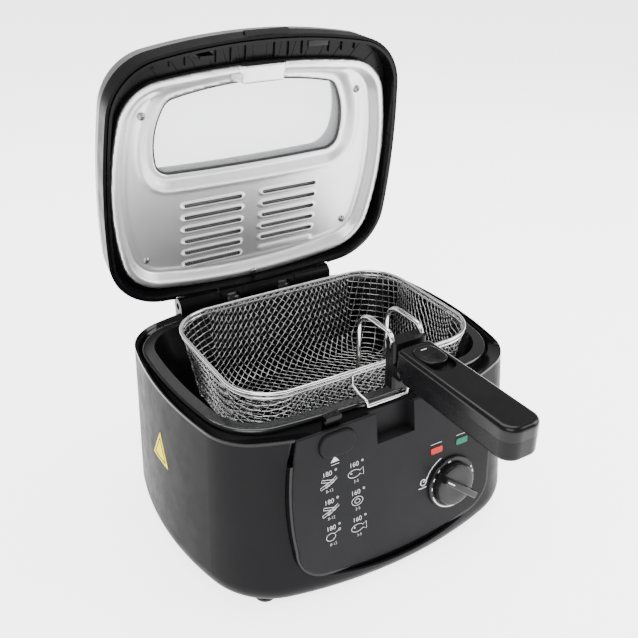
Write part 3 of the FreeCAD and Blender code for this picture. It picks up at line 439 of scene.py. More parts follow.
def block(bm, low, high):
    """Adds a box between two corners to a bmesh."""
    low = Vector(low)
    high = Vector(high)
    size = high - low
    place = Matrix.Translation((low + high) / 2) @ Matrix.Diagonal((*size, 1))
    return bmesh.ops.create_cube(bm, size=1, matrix=place)["verts"]


def lathe(profile, steps):
    """Vertices and faces of a turned form; profile is a list of (radius, height)."""
    vertices = []
    faces = []
    rings = len(profile)
    for i in range(steps):
        angle = 2 * math.pi * i / steps
        for radius, height in profile:
            vertices.append((radius * math.cos(angle), radius * math.sin(angle), height))
    for i in range(steps):
        n = (i + 1) % steps
        for k in range(rings - 1):
            faces.append((i * rings + k, n * rings + k, n * rings + k + 1, i * rings + k + 1))
    return vertices, faces


# ---------------------------------------------------------------- the basket's woven wire cloth

CLOTH_PITCH = 5.1 * MM
CLOTH_WIRE_R = 0.35 * MM
CORE = RIM_HALF - Vector((BASKET_CORNER, BASKET_CORNER))
FLOOR_BEND = 16 * MM
WALL_TAPER = 11 * MM
CLOTH_INSET = 0.6 * MM
CLOTH_BELOW_RIM = 0.4 * MM
SHEAR = math.radians(27)


def basket_profile():
    """The section from the floor's edge up to the rim, as (run, radius, height) samples."""
    lean = math.atan2(WALL_TAPER, BASKET_DEEP)
    foot = BASKET_CORNER - WALL_TAPER - CLOTH_INSET
    turn = math.pi / 2 - lean
    back = FLOOR_BEND * math.tan(turn / 2)
    samples = [(0.0, 0.0, 0.0), (foot - back, foot - back, 0.0)]
    for i in range(1, 13):
        a = turn * i / 12
        samples.append((foot - back + FLOOR_BEND * a, foot - back + FLOOR_BEND * math.sin(a),
                        FLOOR_BEND * (1 - math.cos(a))))
    run, radius, height = samples[-1]
    top = BASKET_DEEP - CLOTH_BELOW_RIM
    rise = (top - height) / math.cos(lean)
    samples.append((run + rise, radius + rise * math.sin(lean), top))
    return np.array(samples)


PROFILE = basket_profile()
CLOTH_EDGE = PROFILE[-1, 0]


def side_search(along, out, reach):
    """Where a cloth point beside a wall of half length reach leaves the floor's core.

    The cloth's upward direction swings by up to SHEAR towards the corner, as drawn wire cloth does.
    """
    low = np.zeros_like(along)
    high = np.full_like(along, reach)
    for _ in range(30):
        mid = (low + high) / 2
        tilt = SHEAR * (mid / reach) ** 2
        ahead = (along - mid) * np.cos(tilt) - out * np.sin(tilt) > 0
        low = np.where(ahead, mid, low)
        high = np.where(ahead, high, mid)
    return (low + high) / 2


def cloth_to_basket(p, q):
    """Core point, outward direction and run up the section for points (p, q) of the flat cloth."""
    ap, aq = np.abs(p), np.abs(q)
    dp, dq = ap - CORE.x, aq - CORE.y
    inside = (dp <= 0) & (dq <= 0)
    on_long = (dp * math.cos(SHEAR) - dq * math.sin(SHEAR) < 0) & ~inside
    on_short = (dq * math.cos(SHEAR) - dp * math.sin(SHEAR) < 0) & ~inside & ~on_long
    long_x = side_search(ap, np.clip(dq, 0, None), CORE.x)
    short_y = side_search(aq, np.clip(dp, 0, None), CORE.y)
    base_x = np.where(inside, ap, np.where(on_long, long_x, CORE.x))
    base_y = np.where(inside, aq, np.where(on_long, CORE.y, np.where(on_short, short_y, CORE.y)))
    run = np.where(inside, 0, np.hypot(ap - base_x, aq - base_y))
    turn = (np.arctan2(dp, np.where(dq == 0, 1e-12, dq)) - SHEAR) / (math.pi / 2 - 2 * SHEAR) * math.pi / 2
    turn = np.where(on_long, 0, np.where(on_short, math.pi / 2, np.clip(turn, 0, math.pi / 2)))
    return np.sign(p) * base_x, np.sign(q) * base_y, np.sign(p) * np.sin(turn), np.sign(q) * np.cos(turn), run


def on_basket(p, q, lift):
    """Lays points of the flat cloth on the basket, raised by lift along the surface normal."""
    base_x, base_y, ux, uy, run = cloth_to_basket(p, q)
    step = 0.2 * MM
    runs, radii, heights = PROFILE.T
    radius = np.interp(run, runs, radii)
    height = np.interp(run, runs, heights)
    d_radius = np.interp(run + step, runs, radii) - np.interp(run - step, runs, radii)
    d_height = np.interp(run + step, runs, heights) - np.interp(run - step, runs, heights)
    length = np.hypot(d_radius, d_height)
    sunk = length < 1e-12
    slope = np.where(sunk, 0, d_height / np.where(sunk, 1, length))
    rise = np.where(sunk, 1, d_radius / np.where(sunk, 1, length))
    normal = np.stack([-ux * slope, -uy * slope, np.maximum(rise, 1e-6)], axis=-1)
    floor = RIM_Z - BASKET_DEEP + CLOTH_INSET
    points = np.stack([base_x + ux * radius, base_y + uy * radius + BASKET_Y, floor + height], axis=-1)
    return points + normal * lift[:, None], normal


def woven_basket():
    """Two families of wavy wires on the bias of the flat cloth, laid on the basket and trimmed at its rim."""
    step = CLOTH_PITCH * math.sqrt(2)
    reach = CORE.x + CORE.y + 2 * CLOTH_EDGE
    count = int(reach / step)
    lines = []
    for family in (1, -1):
        for i in range(-count, count + 1):
            c = (i + 0.5) * step
            along = np.arange(-2 * count, 2 * count + 1, 0.25) * step
            p = (c + along) / 2
            q = (c - along) / 2 * family
            lift = family * 0.8 * CLOTH_WIRE_R * np.cos(math.pi * (along / step + i))
            keep = np.flatnonzero(cloth_to_basket(p, q)[4] <= CLOTH_EDGE)
            if len(keep) < 6:
                continue
            p, q, lift = p[keep], q[keep], lift[keep]
            lines.append(on_basket(p, q, lift))
    vertices, faces = tubes(lines, CLOTH_WIRE_R, 5)
    mesh_piece("woven_basket", vertices, faces, CLOTH_WIRE, "basket", ("basket_mesh",))


woven_basket()


def second_rim_wire():
    """The thinner wire that runs just below the basket's rim."""
    inset = 0.7 * MM
    half_x, half_y = RIM_HALF.x - inset, RIM_HALF.y - inset
    outline = rounded_rectangle(0, BASKET_Y, half_x, half_y, BASKET_CORNER - inset, 16)
    line = [(x, y, RIM_Z - 3.4 * MM) for x, y in outline]
    closed_tube_piece("basket_rim_lower_wire", line, 0.85 * MM, CHROME, "basket")


second_rim_wire()

# ---------------------------------------------------------------- shapes read from the lid's nodes


def flat_outline(node):
    """The convex outline of a lid node in the lid's own plane, as edge points and outward normals."""
    back = LID_FRAME.inverted()
    flat = [back @ v.co for v in nodes[node].data.vertices]
    points = sorted({(round(c.x, 5), round(c.y, 5)) for c in flat})

    def half_hull(ordered):
        hull = []
        for p in ordered:
            while len(hull) > 1 and ((hull[-1][0] - hull[-2][0]) * (p[1] - hull[-2][1])
                                     - (hull[-1][1] - hull[-2][1]) * (p[0] - hull[-2][0])) <= 1e-12:
                hull.pop()
            hull.append(p)
        return hull[:-1]

    hull = np.array(half_hull(points) + half_hull(points[::-1]))
    edge = np.roll(hull, -1, axis=0) - hull
    normal = np.stack([edge[:, 1], -edge[:, 0]], axis=1)
    return hull, normal / np.linalg.norm(normal, axis=1)[:, None]


def beyond(outline, x, y):
    """How far points lie outside a convex outline; negative inside."""
    hull, normal = outline
    away = [(x - h[0]) * n[0] + (y - h[1]) * n[1] for h, n in zip(hull, normal)]
    return np.max(away, axis=0)


def smooth_step(value, start, end):
    share = np.clip((value - start) / (end - start), 0, 1)
    return share * share * (3 - 2 * share)


SEAL_EDGE = flat_outline("lid_seal")
WINDOW_EDGE = flat_outline("inner_window")
FRAME_EDGE = flat_outline("lid_frame")
SEAL_INSET = 0.5 * MM
WINDOW_LAP = 3 * MM

# ---------------------------------------------------------------- the lid's pressed inner plate

SHEET = 0.7 * MM
FLANGE_Z = 5.4 * MM
FIELD_Z = 14.9 * MM
STEP_START = 5 * MM
STEP_END = 11 * MM
WINDOW_RISE = 3.6 * MM
WINDOW_FLAT = 3 * MM
WINDOW_SKIRT = 11 * MM
BOSS_Z = 1.9 * MM
EDGE_ROLL = 1.1 * MM
ROLL_RUN = 1.4 * MM
GROOVE_SHIFT = 1.5 * MM
STEP_GROOVE, STEP_GROOVE_RUN = 0.9 * MM, 1.6 * MM
WINDOW_GROOVE, WINDOW_GROOVE_RUN = 0.7 * MM, 1.8 * MM
OPEN_RISE = 2.3 * MM
CLOSED_RISE = 1.2 * MM
GRID_X = 124 * MM
GRID_FRONT, GRID_BACK = -203 * MM, -8 * MM
LOUVRE_ROWS = [(-30.6 - 11.1 * row) * MM for row in range(6)]
LOUVRE_X = 35.4 * MM
LOUVRE_RUN = 24.6 * MM
LIP_R = 3.2 * MM
SLOT_R = 1.55 * MM
SLOT_SHIFT = 0.7 * MM
CLOSED_LOUVRE = (1, 0)


def louvres():
    """The centre of each louvre, and whether it is cut through."""
    for row, y in enumerate(LOUVRE_ROWS):
        for side in (-1, 1):
            yield side * LOUVRE_X, y, (side, row) != CLOSED_LOUVRE


def from_louvre(x, y, centre_x, centre_y, radius):
    """How far points lie outside a louvre's round-ended outline; negative inside."""
    return np.hypot(np.clip(np.abs(x - centre_x) - LOUVRE_RUN, 0, None), y - centre_y) - radius


def plate_void(x, y):
    """Positive where the plate has no metal: past its edge, in the window and in the louvre slots."""
    past_edge = beyond(SEAL_EDGE, x, y) - SEAL_INSET
    in_window = -(beyond(WINDOW_EDGE, x, y) + WINDOW_LAP + 0.4 * MM)
    void = np.maximum(past_edge, in_window)
    for centre_x, centre_y, is_open in louvres():
        if is_open:
            void = np.maximum(void, -from_louvre(x, y, centre_x, centre_y - SLOT_SHIFT, SLOT_R))
    return void


def plate_height(x, y):
    """The plate's pressed form: rolled edge, flange, step, field, window frame, front boss and louvres."""
    inward = SEAL_INSET - beyond(SEAL_EDGE, x, y)
    outward = beyond(WINDOW_EDGE, x, y) + WINDOW_LAP
    height = FLANGE_Z + (FIELD_Z - FLANGE_Z) * smooth_step(inward, STEP_START, STEP_END)
    height += EDGE_ROLL * (1 - smooth_step(inward, 0, ROLL_RUN))
    height -= STEP_GROOVE * np.exp(-((inward - STEP_END - GROOVE_SHIFT) / STEP_GROOVE_RUN) ** 2)
    height += WINDOW_RISE * (1 - smooth_step(outward, WINDOW_FLAT, WINDOW_SKIRT))
    height -= WINDOW_GROOVE * np.exp(-((outward - WINDOW_SKIRT - GROOVE_SHIFT) / WINDOW_GROOVE_RUN) ** 2)
    boss = (1 - smooth_step(np.abs(x), 16 * MM, 20 * MM)) * (1 - smooth_step(inward, 13 * MM, 17 * MM))
    boss *= y < -150 * MM
    height += (BOSS_Z - height) * boss
    for centre_x, centre_y, is_open in louvres():
        tall = OPEN_RISE if is_open else CLOSED_RISE
        lean = 1 + 0.35 * np.clip((y - centre_y) / (3 * MM), -1, 1)
        outside = from_louvre(x, y, centre_x, centre_y, LIP_R)
        height -= tall * lean * (1 - smooth_step(outside, -2 * MM, 0.7 * MM))
    return height


def grid_lines():
    """The plate's grid: even lines, but closer rows where the louvres are."""
    cell = 1.4 * MM
    xs = np.arange(-GRID_X, GRID_X + cell, cell)
    fine = np.array([-4.4, -3.6, -2.9, -2.2, -1.6, -0.9, -0.2, 0.4, 1.1, 1.8, 2.5, 3.2, 3.9, 4.6]) * MM
    rows = np.concatenate([y + fine for y in LOUVRE_ROWS])
    low, high = rows.min(), rows.max()
    below = np.arange(low - cell, GRID_FRONT, -cell)
    above = np.arange(high + cell, GRID_BACK, cell)
    return xs, np.sort(np.concatenate([below, rows, above]))


def lid_plate():
    """A grid of the plate's height with its edge points drawn on to the outlines, thickened to a sheet."""
    xs, ys = grid_lines()
    x, y = np.meshgrid(xs, ys)
    centre_x = (x[:-1, :-1] + x[1:, 1:]) / 2
    centre_y = (y[:-1, :-1] + y[1:, 1:]) / 2
    metal_here = plate_void(centre_x, centre_y) < 0
    counts = np.zeros(x.shape, int)
    for dy in (0, 1):
        for dx in (0, 1):
            counts[dy:dy + metal_here.shape[0], dx:dx + metal_here.shape[1]] += metal_here
    edge = (counts > 0) & (counts < 4)
    ex, ey = x[edge], y[edge]
    probe = 0.05 * MM
    for _ in range(4):
        void = plate_void(ex, ey)
        slope_x = (plate_void(ex + probe, ey) - plate_void(ex - probe, ey)) / (2 * probe)
        slope_y = (plate_void(ex, ey + probe) - plate_void(ex, ey - probe)) / (2 * probe)
        steep = np.maximum(slope_x ** 2 + slope_y ** 2, 0.3)
        ex = ex - void * slope_x / steep
        ey = ey - void * slope_y / steep
    x[edge], y[edge] = ex, ey
    used = counts > 0
    index = np.cumsum(used.ravel()).reshape(used.shape) - 1
    vertices = np.stack([x[used], y[used], plate_height(x[used], y[used])], axis=1)
    rows, columns = np.nonzero(metal_here)
    faces = np.stack([index[rows, columns], index[rows + 1, columns], index[rows + 1, columns + 1],
                      index[rows, columns + 1]], axis=1)
    plate = mesh_piece("pressed_lid_plate", vertices, faces, ALUMINIUM, "lid",
                       ("lid_inner_plate",), place=LID_FRAME)
    sheet = plate.modifiers.new("sheet", "SOLIDIFY")
    sheet.thickness = SHEET
    sheet.offset = -1
    apply_modifiers(plate)
    plate.data.shade_smooth()


lid_plate()


def screw_head():
    """A domed head with a cross recess, standing on z = 0 and facing -z."""
    profile = [(AXIS_GAP, -1.7), (1.2, -1.62), (2.2, -1.3), (2.9, -0.7), (3.15, 0.0), (3.15, 0.5),
               (AXIS_GAP, 0.5)]
    vertices, faces = lathe([(r * MM, z * MM) for r, z in profile], 32)
    mesh = bpy.data.meshes.new("screw_head")
    mesh.from_pydata(vertices, [], faces)
    obj = bpy.data.objects.new("screw_head", mesh)
    bpy.context.scene.collection.objects.link(obj)
    cutter_bm = bmesh.new()
    long, short, floor = 1.7 * MM, 0.35 * MM, -0.7 * MM
    for x, y in ((long, short), (short, long)):
        block(cutter_bm, (-x, -y, -3 * MM), (x, y, floor))
    cutter_mesh = bpy.data.meshes.new("cutter")
    cutter_bm.to_mesh(cutter_mesh)
    cutter_bm.free()
    cutter = bpy.data.objects.new("cutter", cutter_mesh)
    bpy.context.scene.collection.objects.link(cutter)
    cut = obj.modifiers.new("cross", "BOOLEAN")
    cut.object = cutter
    cut.use_self = True
    apply_modifiers(obj)
    result = obj.data
    bpy.data.objects.remove(obj)
    bpy.data.objects.remove(cutter)
    return result


def lid_screws():
    """Five heads on the plate, each turned to its own angle."""
    head = screw_head()
    on_field, on_flange = FIELD_Z - 0.5 * MM, FLANGE_Z - 0.5 * MM
    spots = [(-93.2, -166.6, on_field), (93.2, -166.6, on_field), (-94.5, -42.6, on_field),
             (94.5, -42.6, on_field), (0, -14.6, on_flange)]
    bm = bmesh.new()
    for turn, (x, y, z) in enumerate(spots):
        copy = head.copy()
        copy.transform(Matrix.Translation((x * MM, y * MM, z)) @ Matrix.Rotation(turn * 1.3, 4, "Z"))
        bm.from_mesh(copy)
    bmesh_piece("lid_cross_screws", bm, STEEL, "lid", ("lid_plate_screws",), place=LID_FRAME)


lid_screws()


def lid_surface(names):
    """A function giving the height of the nodes' inner side at a place in the lid's plane."""
    back = LID_FRAME.inverted()
    trees = []
    for name in names:
        mesh = nodes[name].data
        trees.append(BVHTree.FromPolygons([back @ v.co for v in mesh.vertices],
                                          [tuple(face.vertices) for face in mesh.polygons]))

    def height(x, y):
        hits = [tree.ray_cast(Vector((x, y, -40 * MM)), Vector((0, 0, 1)))[0] for tree in trees]
        hits = [hit.z for hit in hits if hit]
        return min(hits) if hits else None

    return height


LID_INNER_HEIGHT = lid_surface(["lid_frame", "lid_seal", "lid_shell"])


def lid_frame_ribs():
    """Thin moulded ribs across the black channel round the plate, but not at the hinge."""
    middle = Vector((0, -106 * MM))
    ribs = []
    count = 56
    for i in range(count):
        angle = 2 * math.pi * (i + 0.5) / count
        way = Vector((math.cos(angle), math.sin(angle)))
        reach = np.linspace(60 * MM, 150 * MM, 400)
        px, py = middle.x + reach * way.x, middle.y + reach * way.y
        inner = reach[np.argmax(beyond(SEAL_EDGE, px, py) > 1.0 * MM)]
        outer = reach[np.argmax(beyond(FRAME_EDGE, px, py) > -1.5 * MM)]
        if way.y > 0 and abs(middle.x + outer * way.x) < 80 * MM:
            continue
        points = []
        for r in np.linspace(inner, outer, 14):
            spot = middle + way * r
            z = LID_INNER_HEIGHT(spot.x, spot.y)
            if z is not None:
                points.append((spot.x, spot.y, z))
        ribs.append((np.array(points), np.tile([0.0, 0.0, -1.0], (len(points), 1))))
    vertices, faces = tubes(ribs, 0.4 * MM, 6)
    mesh_piece("lid_frame_ribs", vertices, faces, BLACK_MATT, "lid", place=LID_FRAME)


def lid_frame_pads():
    """Two smooth pads at the front of the channel."""
    bm = bmesh.new()
    half_x, half_y = 9 * MM, 2.6 * MM
    y = -209.5 * MM
    for x in (-48 * MM, 50 * MM):
        z = LID_INNER_HEIGHT(x, y)
        block(bm, (x - half_x, y - half_y, z - 1.2 * MM), (x + half_x, y + half_y, z + 0.6 * MM))
    bmesh_piece("lid_frame_pads", bm, GRIP_TOP, "lid", place=LID_FRAME, bevel=0.4 * MM)


lid_frame_ribs()
lid_frame_pads()

# ---------------------------------------------------------------- the knob and the slide button


def knob():
    """A skirt with a groove inside it, a raised disc and a tapered grip bar with a white pointer."""
    low = 0.6
    skirt = [(AXIS_GAP, low), (21.2, low), (21.5, low + 0.4), (21.4, 1.9), (20.9, 2.5), (18.0, 2.9)]
    groove = [(17.6, 2.7), (17.5, 1.7), (17.0, 1.7), (16.9, 2.8)]
    disc_top = [(16.5, 6.4), (16.1, 7.0), (15.3, 7.3), (9, 7.0), (AXIS_GAP, 6.9)]
    profile = skirt + groove + disc_top
    vertices, faces = lathe([(r * MM, z * MM) for r, z in profile], 128)
    place = PANEL_FRAME @ Matrix.Translation(KNOB_PLACE)
    disc = mesh_piece("knob_disc", vertices, faces, KNOB, "knob", ("control_knob",),
                      place=place)
    smooth_by_angle(disc, 40)
    turned = place @ Matrix.Rotation(math.radians(KNOB_TURN), 4, "Z")
    bm = bmesh.new()
    verts = block(bm, (-18.6 * MM, -3.3 * MM, 3 * MM), (19.6 * MM, 3.3 * MM, 13 * MM))
    for v in verts:
        if v.co.z > 8 * MM:
            v.co.y *= 0.72
            v.co.x *= 0.95
    bmesh_piece("knob_grip", bm, KNOB, "knob", place=turned, bevel=0.9 * MM, segments=4)
    bm = bmesh.new()
    block(bm, (-16.0 * MM, -0.5 * MM, 12.6 * MM), (-8.0 * MM, 0.5 * MM, 13.08 * MM))
    bmesh_piece("knob_pointer", bm, WHITE_INK, "knob", place=turned, bevel=0.2 * MM,
                segments=2)


knob()


def ring_loft(name, levels, outline_points, material, body, replaces):
    """A closed form from one outline drawn at several levels, each (z, inset)."""
    vertices = []
    faces = []
    count = len(outline_points(0))
    for z, inset in levels:
        vertices.extend((x, y, z) for x, y in outline_points(inset))
    for level in range(len(levels) - 1):
        a = level * count
        for k in range(count):
            n = (k + 1) % count
            faces.append((a + k, a + n, a + count + n, a + count + k))
    faces.append(tuple(reversed(range(count))))
    top = (len(levels) - 1) * count
    centre = np.mean(np.array(vertices[top:]), axis=0)
    vertices.append(tuple(centre))
    faces.extend((top + k, top + (k + 1) % count, len(vertices) - 1) for k in range(count))
    obj = mesh_piece(name, vertices, faces, material, body, replaces)
    smooth_by_angle(obj, 40)


def slide_button():
    """A round-cornered cap with a shallow dish and five ridges for the thumb."""
    low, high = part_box("handle_slide_button")
    half = (high - low) / 2
    centre = (low + high) / 2

    def edge(inset):
        return rounded_rectangle(centre.x, centre.y, half.x - inset, half.y - inset, 7.6 * MM - inset, 12)

    top = high.z
    levels = [(low.z, 0), (top - 0.9 * MM, 0), (top - 0.45 * MM, 0.15 * MM), (top - 0.15 * MM, 0.5 * MM),
              (top - 0.02 * MM, 1.0 * MM), (top, 1.8 * MM), (top - 0.25 * MM, 3.0 * MM),
              (top - 0.45 * MM, 5.0 * MM)]
    ring_loft("slide_button_cap", levels, edge, GRIP_TOP, "slider", ("handle_slide_button",))
    bm = bmesh.new()
    for i in range(5):
        y = low.y + (3.2 + 1.7 * i) * MM
        wide = (4.8 + 0.5 * i) * MM
        block(bm, (-wide, y - 0.4 * MM, top - 0.8 * MM), (wide, y + 0.4 * MM, top - 0.02 * MM))
    bmesh_piece("slide_button_ridges", bm, GRIP_TOP, "slider", bevel=0.25 * MM, segments=2)


def slide_tick():
    """A short white mark near the slide button's far end."""
    low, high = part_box("handle_slide_button")
    centre = (low + high) / 2
    bm = bmesh.new()
    block(bm, (centre.x - 2.2 * MM, high.y - 4.6 * MM, high.z - 0.9 * MM),
          (centre.x + 2.2 * MM, high.y - 3.9 * MM, high.z - 0.05 * MM))
    bmesh_piece("slide_button_mark", bm, WHITE_INK, "slider", bevel=0.12 * MM, segments=2)


slide_button()
slide_tick()

# ---------------------------------------------------------------- the hot-surface triangle's printed edge


def label_border():
    """A black line inside the label's edge, lying on the label's curved face."""
    mesh = nodes["hot_surface_label"].data
    points = [v.co for v in mesh.vertices]
    tree = BVHTree.FromPolygons(points, [tuple(face.vertices) for face in mesh.polygons])
    top = max(points, key=lambda p: p.z)
    low = min(p.z for p in points)
    foot = [p for p in points if p.z < low + 1.5 * MM]
    front = min(foot, key=lambda p: p.y)
    rear = max(foot, key=lambda p: p.y)
    middle = (top + front + rear) / 3
    corners = [middle.lerp(corner, 0.7) for corner in (top, front, rear)]
    line = []
    for k in range(3):
        for i in range(12):
            spot = corners[k].lerp(corners[(k + 1) % 3], i / 12)
            hit = tree.ray_cast(spot + Vector((-20 * MM, 0, 0)), Vector((1, 0, 0)))[0]
            line.append(hit if hit else spot)
    closed_tube_piece("label_border", line, 0.35 * MM, BLACK_MATT, "base")


label_border()

# ---------------------------------------------------------------- printing on the panel

LAMP_X = (35.0, 58.5)
DIAL_R = 19.4


def strokes(paths, width):
    """Flat printed lines, as thin raised strips in the panel's frame."""
    lines = []
    for path in paths:
        points = np.array([(x * MM, y * MM, 0.0) for x, y in path])
        lines.append((points, np.tile([0.0, 0.0, 1.0], (len(points), 1))))
    vertices, faces = tubes(lines, width * MM / 2, 6)
    return [(v[0], v[1], v[2] * 0.25 + 0.02 * MM) for v in vertices], faces


def arc(x, y, radius, start, end, steps=24, squeeze=1.0):
    """Points along an arc between two angles in degrees; squeeze flattens it into an ellipse."""
    angles = [math.radians(start + (end - start) * i / steps) for i in range(steps + 1)]
    return [(x + radius * math.cos(a), y + radius * squeeze * math.sin(a)) for a in angles]


def fish(x, y):
    return [arc(x - 1.2, y, 5.0, 25, 335, squeeze=0.6), arc(x - 3.6, y + 0.8, 0.5, 0, 350, 8),
            [(x + 3.3, y + 1.3), (x + 6.3, y + 3), (x + 6.3, y - 3), (x + 3.3, y - 1.3)]]


def chips(x, y):
    paths = []
    long, wide = 5.0, 0.95
    corners = [(-long, -wide), (long, -wide), (long, wide), (-long, wide), (-long, -wide)]
    for dx, dy, lean in ((-2.0, -1.4, 18), (-0.8, 1.5, -16), (1.8, 0.0, 30)):
        turn = math.radians(lean)
        paths.append([(x + dx + u * math.cos(turn) - v * math.sin(turn),
                       y + dy + u * math.sin(turn) + v * math.cos(turn)) for u, v in corners])
    return paths


def drumstick(x, y):
    return [arc(x - 1.6, y, 3.7, 40, 380, squeeze=0.8), [(x + 1.4, y + 1.9), (x + 5.0, y + 3.6)],
            arc(x + 5.7, y + 3.9, 0.9, 0, 350, 8)]


def onion_ring(x, y):
    return [arc(x, y, 4.6, 0, 360, squeeze=0.75), arc(x, y, 2.2, 0, 360, squeeze=0.75)]


def printed_text(text, x, y, size):
    """Plain digits at a place on the panel, as vertices and faces."""
    curve = bpy.data.curves.new("digits", "FONT")
    curve.body = text
    curve.size = size * MM
    curve.align_x = "CENTER"
    curve.align_y = "CENTER"
    curve.extrude = 0.03 * MM
    curve.offset = -0.07 * MM
    mesh = curve_mesh(curve)
    vertices = [(v.co.x + x * MM, v.co.y + y * MM, v.co.z + 0.03 * MM) for v in mesh.vertices]
    return vertices, [tuple(p.vertices) for p in mesh.polygons]


def printed_patch(corners):
    """A filled printed shape, a hair thick."""
    count = len(corners)
    vertices = [(x * MM, y * MM, z * MM) for z in (-0.03, 0.06) for x, y in corners]
    sides = [(k, (k + 1) % count, count + (k + 1) % count, count + k) for k in range(count)]
    return vertices, [tuple(reversed(range(count))), tuple(range(count, 2 * count))] + sides


def joined(parts):
    """Several (vertices, faces) as one."""
    vertices = []
    faces = []
    for part_vertices, part_faces in parts:
        start = len(vertices)
        vertices.extend(part_vertices)
        faces.extend(tuple(start + k for k in f) for f in part_faces)
    return vertices, faces


def panel_print():
    """Two columns of numbers and food outlines, the up mark, the lamps' dashes and the dial's clock."""
    parts = []
    thin = []
    columns = [(-56.5, (-32.5, -54.5, -76.0), "180", "8-12", (chips, chips, drumstick)),
               (-35.0, (-33.0, -55.5, -77.5), "160", "3-5", (fish, onion_ring, fish))]
    for x, rows, number, minutes, icons in columns:
        for y, icon in zip(rows, icons):
            parts.append(printed_text(number, x - 1.0, y, 5.2))
            thin.append(arc(x + 5.9, y + 1.4, 0.7, 0, 360, 10))
            thin.extend(icon(x, y - 7.0))
            parts.append(printed_text(minutes, x, y - 13.3, 3.2))
    thin.append([(-54.0, -27.0), (-47.6, -27.0)])
    parts.append(printed_patch([(-54.2, -25.0), (-47.4, -25.0), (-50.8, -20.9)]))
    for x in LAMP_X:
        thin.append([(x - 5, -41.6), (x + 5, -41.6)])
    parts.append(strokes(thin, 0.36))
    clock_x, clock_y = 22.3, -70.0
    clock_hand = [(clock_x, clock_y), (clock_x + 1.2, clock_y + 1.3)]
    clock_foot = [(clock_x - 4.2, clock_y - 4.4), (clock_x + 2.6, clock_y - 4.4)]
    parts.append(strokes([arc(clock_x, clock_y, 2.5, 0, 360), clock_hand, clock_foot,
                          arc(KNOB_X, KNOB_Y, 24.4, 110, 164)], 0.7))
    vertices, faces = joined(parts)
    mesh_piece("panel_print", vertices, faces, WHITE_INK, "base", smooth=False,
               place=PANEL_FRAME)


def dial_print():
    """The white ring on the knob's skirt: two long arcs and six short dashes."""
    lines = [arc(0, 0, DIAL_R, 196, 300, 40), arc(0, 0, DIAL_R, 303, 345, 16)]
    lines.extend(arc(0, 0, DIAL_R, angle, angle + 7, 4) for angle in (8, 20, 95, 128, 150, 172))
    vertices, faces = strokes(lines, 1.0)
    vertices = [(x, y, z + 2.8 * MM) for x, y, z in vertices]
    mesh_piece("dial_print", vertices, faces, WHITE_INK, "knob", smooth=False,
               place=PANEL_FRAME @ Matrix.Translation(KNOB_PLACE))


panel_print()
dial_print()

# ---------------------------------------------------------------- the basket handle's two wire loops


def bent_run(points, radii):
    """The points of a run of square corners, each rounded to the radius given for it."""
    steps = 12
    run = [Vector(points[0])]
    for k in range(1, len(points) - 1):
        corner = Vector(points[k])
        before = (Vector(points[k - 1]) - corner).normalized() * radii[k - 1]
        after = (Vector(points[k + 1]) - corner).normalized() * radii[k - 1]
        middle = corner + before + after
        for i in range(steps + 1):
            turn = math.pi / 2 * i / steps
            run.append(middle - after * math.cos(turn) - before * math.sin(turn))
    run.append(Vector(points[-1]))
    return run


def wire_loops():
    """Two bent wires from the basket's rim up and over into the handle's bracket."""
    low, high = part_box("handle_wires")
    r = LOOP_WIRE_R
    back_y, front_y, top = high.y - r, low.y + r, high.z - r
    loops = []
    for x in (low.x + r, high.x - r):
        corners = [(x, back_y, low.z), (x, back_y, top), (x, front_y, top), (x, front_y, top - 9.6 * MM)]
        run = bent_run(corners, (14 * MM, 6.5 * MM))
        ahead = [(b - a).normalized() for a, b in zip(run, run[1:])]
        ahead.append(ahead[-1])
        normals = [way.cross(Vector((1, 0, 0))) for way in ahead]
        loops.append((np.array(run), np.array(normals)))
    vertices, faces = tubes(loops, r, 20)
    mesh_piece("wire_loops", vertices, faces, CHROME, "basket", ("handle_wires",))


wire_loops()

# ---------------------------------------------------------------- stage, lights and camera


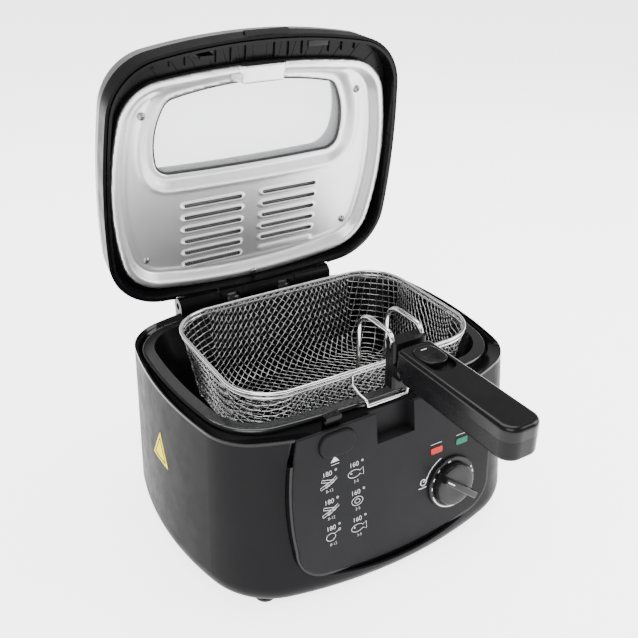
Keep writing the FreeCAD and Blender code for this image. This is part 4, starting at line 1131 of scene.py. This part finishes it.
def floor_material():
    material, tree, shader = new_material("studio_floor")
    tree.links.new(ramp(tree, noise(tree, 2, 2), 0.88, 0.92), shader.inputs["Base Color"])
    shader.inputs["Roughness"].default_value = 0.8
    shader.inputs["Specular IOR Level"].default_value = 0.1
    shader.inputs["Emission Color"].default_value = (1, 1, 1, 1)
    shader.inputs["Emission Strength"].default_value = 3.2
    return material


def stage():
    mesh = bpy.data.meshes.new("floor")
    reach = 6
    corners = [(-reach, -reach, 0), (reach, -reach, 0), (reach, reach, 0), (-reach, reach, 0)]
    mesh.from_pydata(corners, [], [(0, 1, 2, 3)])
    floor = bpy.data.objects.new("floor", mesh)
    bpy.context.scene.collection.objects.link(floor)
    floor.data.materials.append(floor_material())


def softbox(name, place, target, size, power):
    """A rectangular area light facing a target."""
    light = bpy.data.lights.new(name, "AREA")
    light.shape = "RECTANGLE"
    light.size, light.size_y = size
    light.energy = power
    obj = bpy.data.objects.new(name, light)
    obj.location = place
    obj.rotation_euler = (Vector(place) - Vector(target)).to_track_quat("Z", "Y").to_euler()
    bpy.context.scene.collection.objects.link(obj)


def camera():
    """The camera, placed from the middle of the basket's rim."""
    azimuth = math.radians(-30.80)
    elevation = math.radians(27.94)
    data = bpy.data.cameras.new("camera")
    data.sensor_width = 36
    data.lens = 44.58
    obj = bpy.data.objects.new("camera", data)
    back = Vector((math.sin(azimuth) * math.cos(elevation), -math.cos(azimuth) * math.cos(elevation),
                   math.sin(elevation)))
    obj.location = Vector((-277.0 * MM, BASKET_Y - 458.3 * MM, RIM_Z + 288.5 * MM))
    obj.rotation_euler = back.to_track_quat("Z", "Y").to_euler()
    bpy.context.scene.collection.objects.link(obj)
    bpy.context.scene.camera = obj


def world():
    studio = bpy.data.worlds.new("studio")
    bpy.context.scene.world = studio
    studio.use_nodes = True
    background = studio.node_tree.nodes["Background"]
    background.inputs["Color"].default_value = (1, 1, 1, 1)
    background.inputs["Strength"].default_value = 0.45


stage()
world()
camera()
softbox("key_light", (-0.9, -0.9, 1.5), (0, 0, 0.15), (1.2, 1.2), 30)
softbox("fill_light", (1.2, -0.6, 0.9), (0, 0, 0.15), (0.9, 0.9), 22)
softbox("top_light", (0.2, 0.5, 1.7), (0, 0, 0.2), (1.5, 1.0), 34)
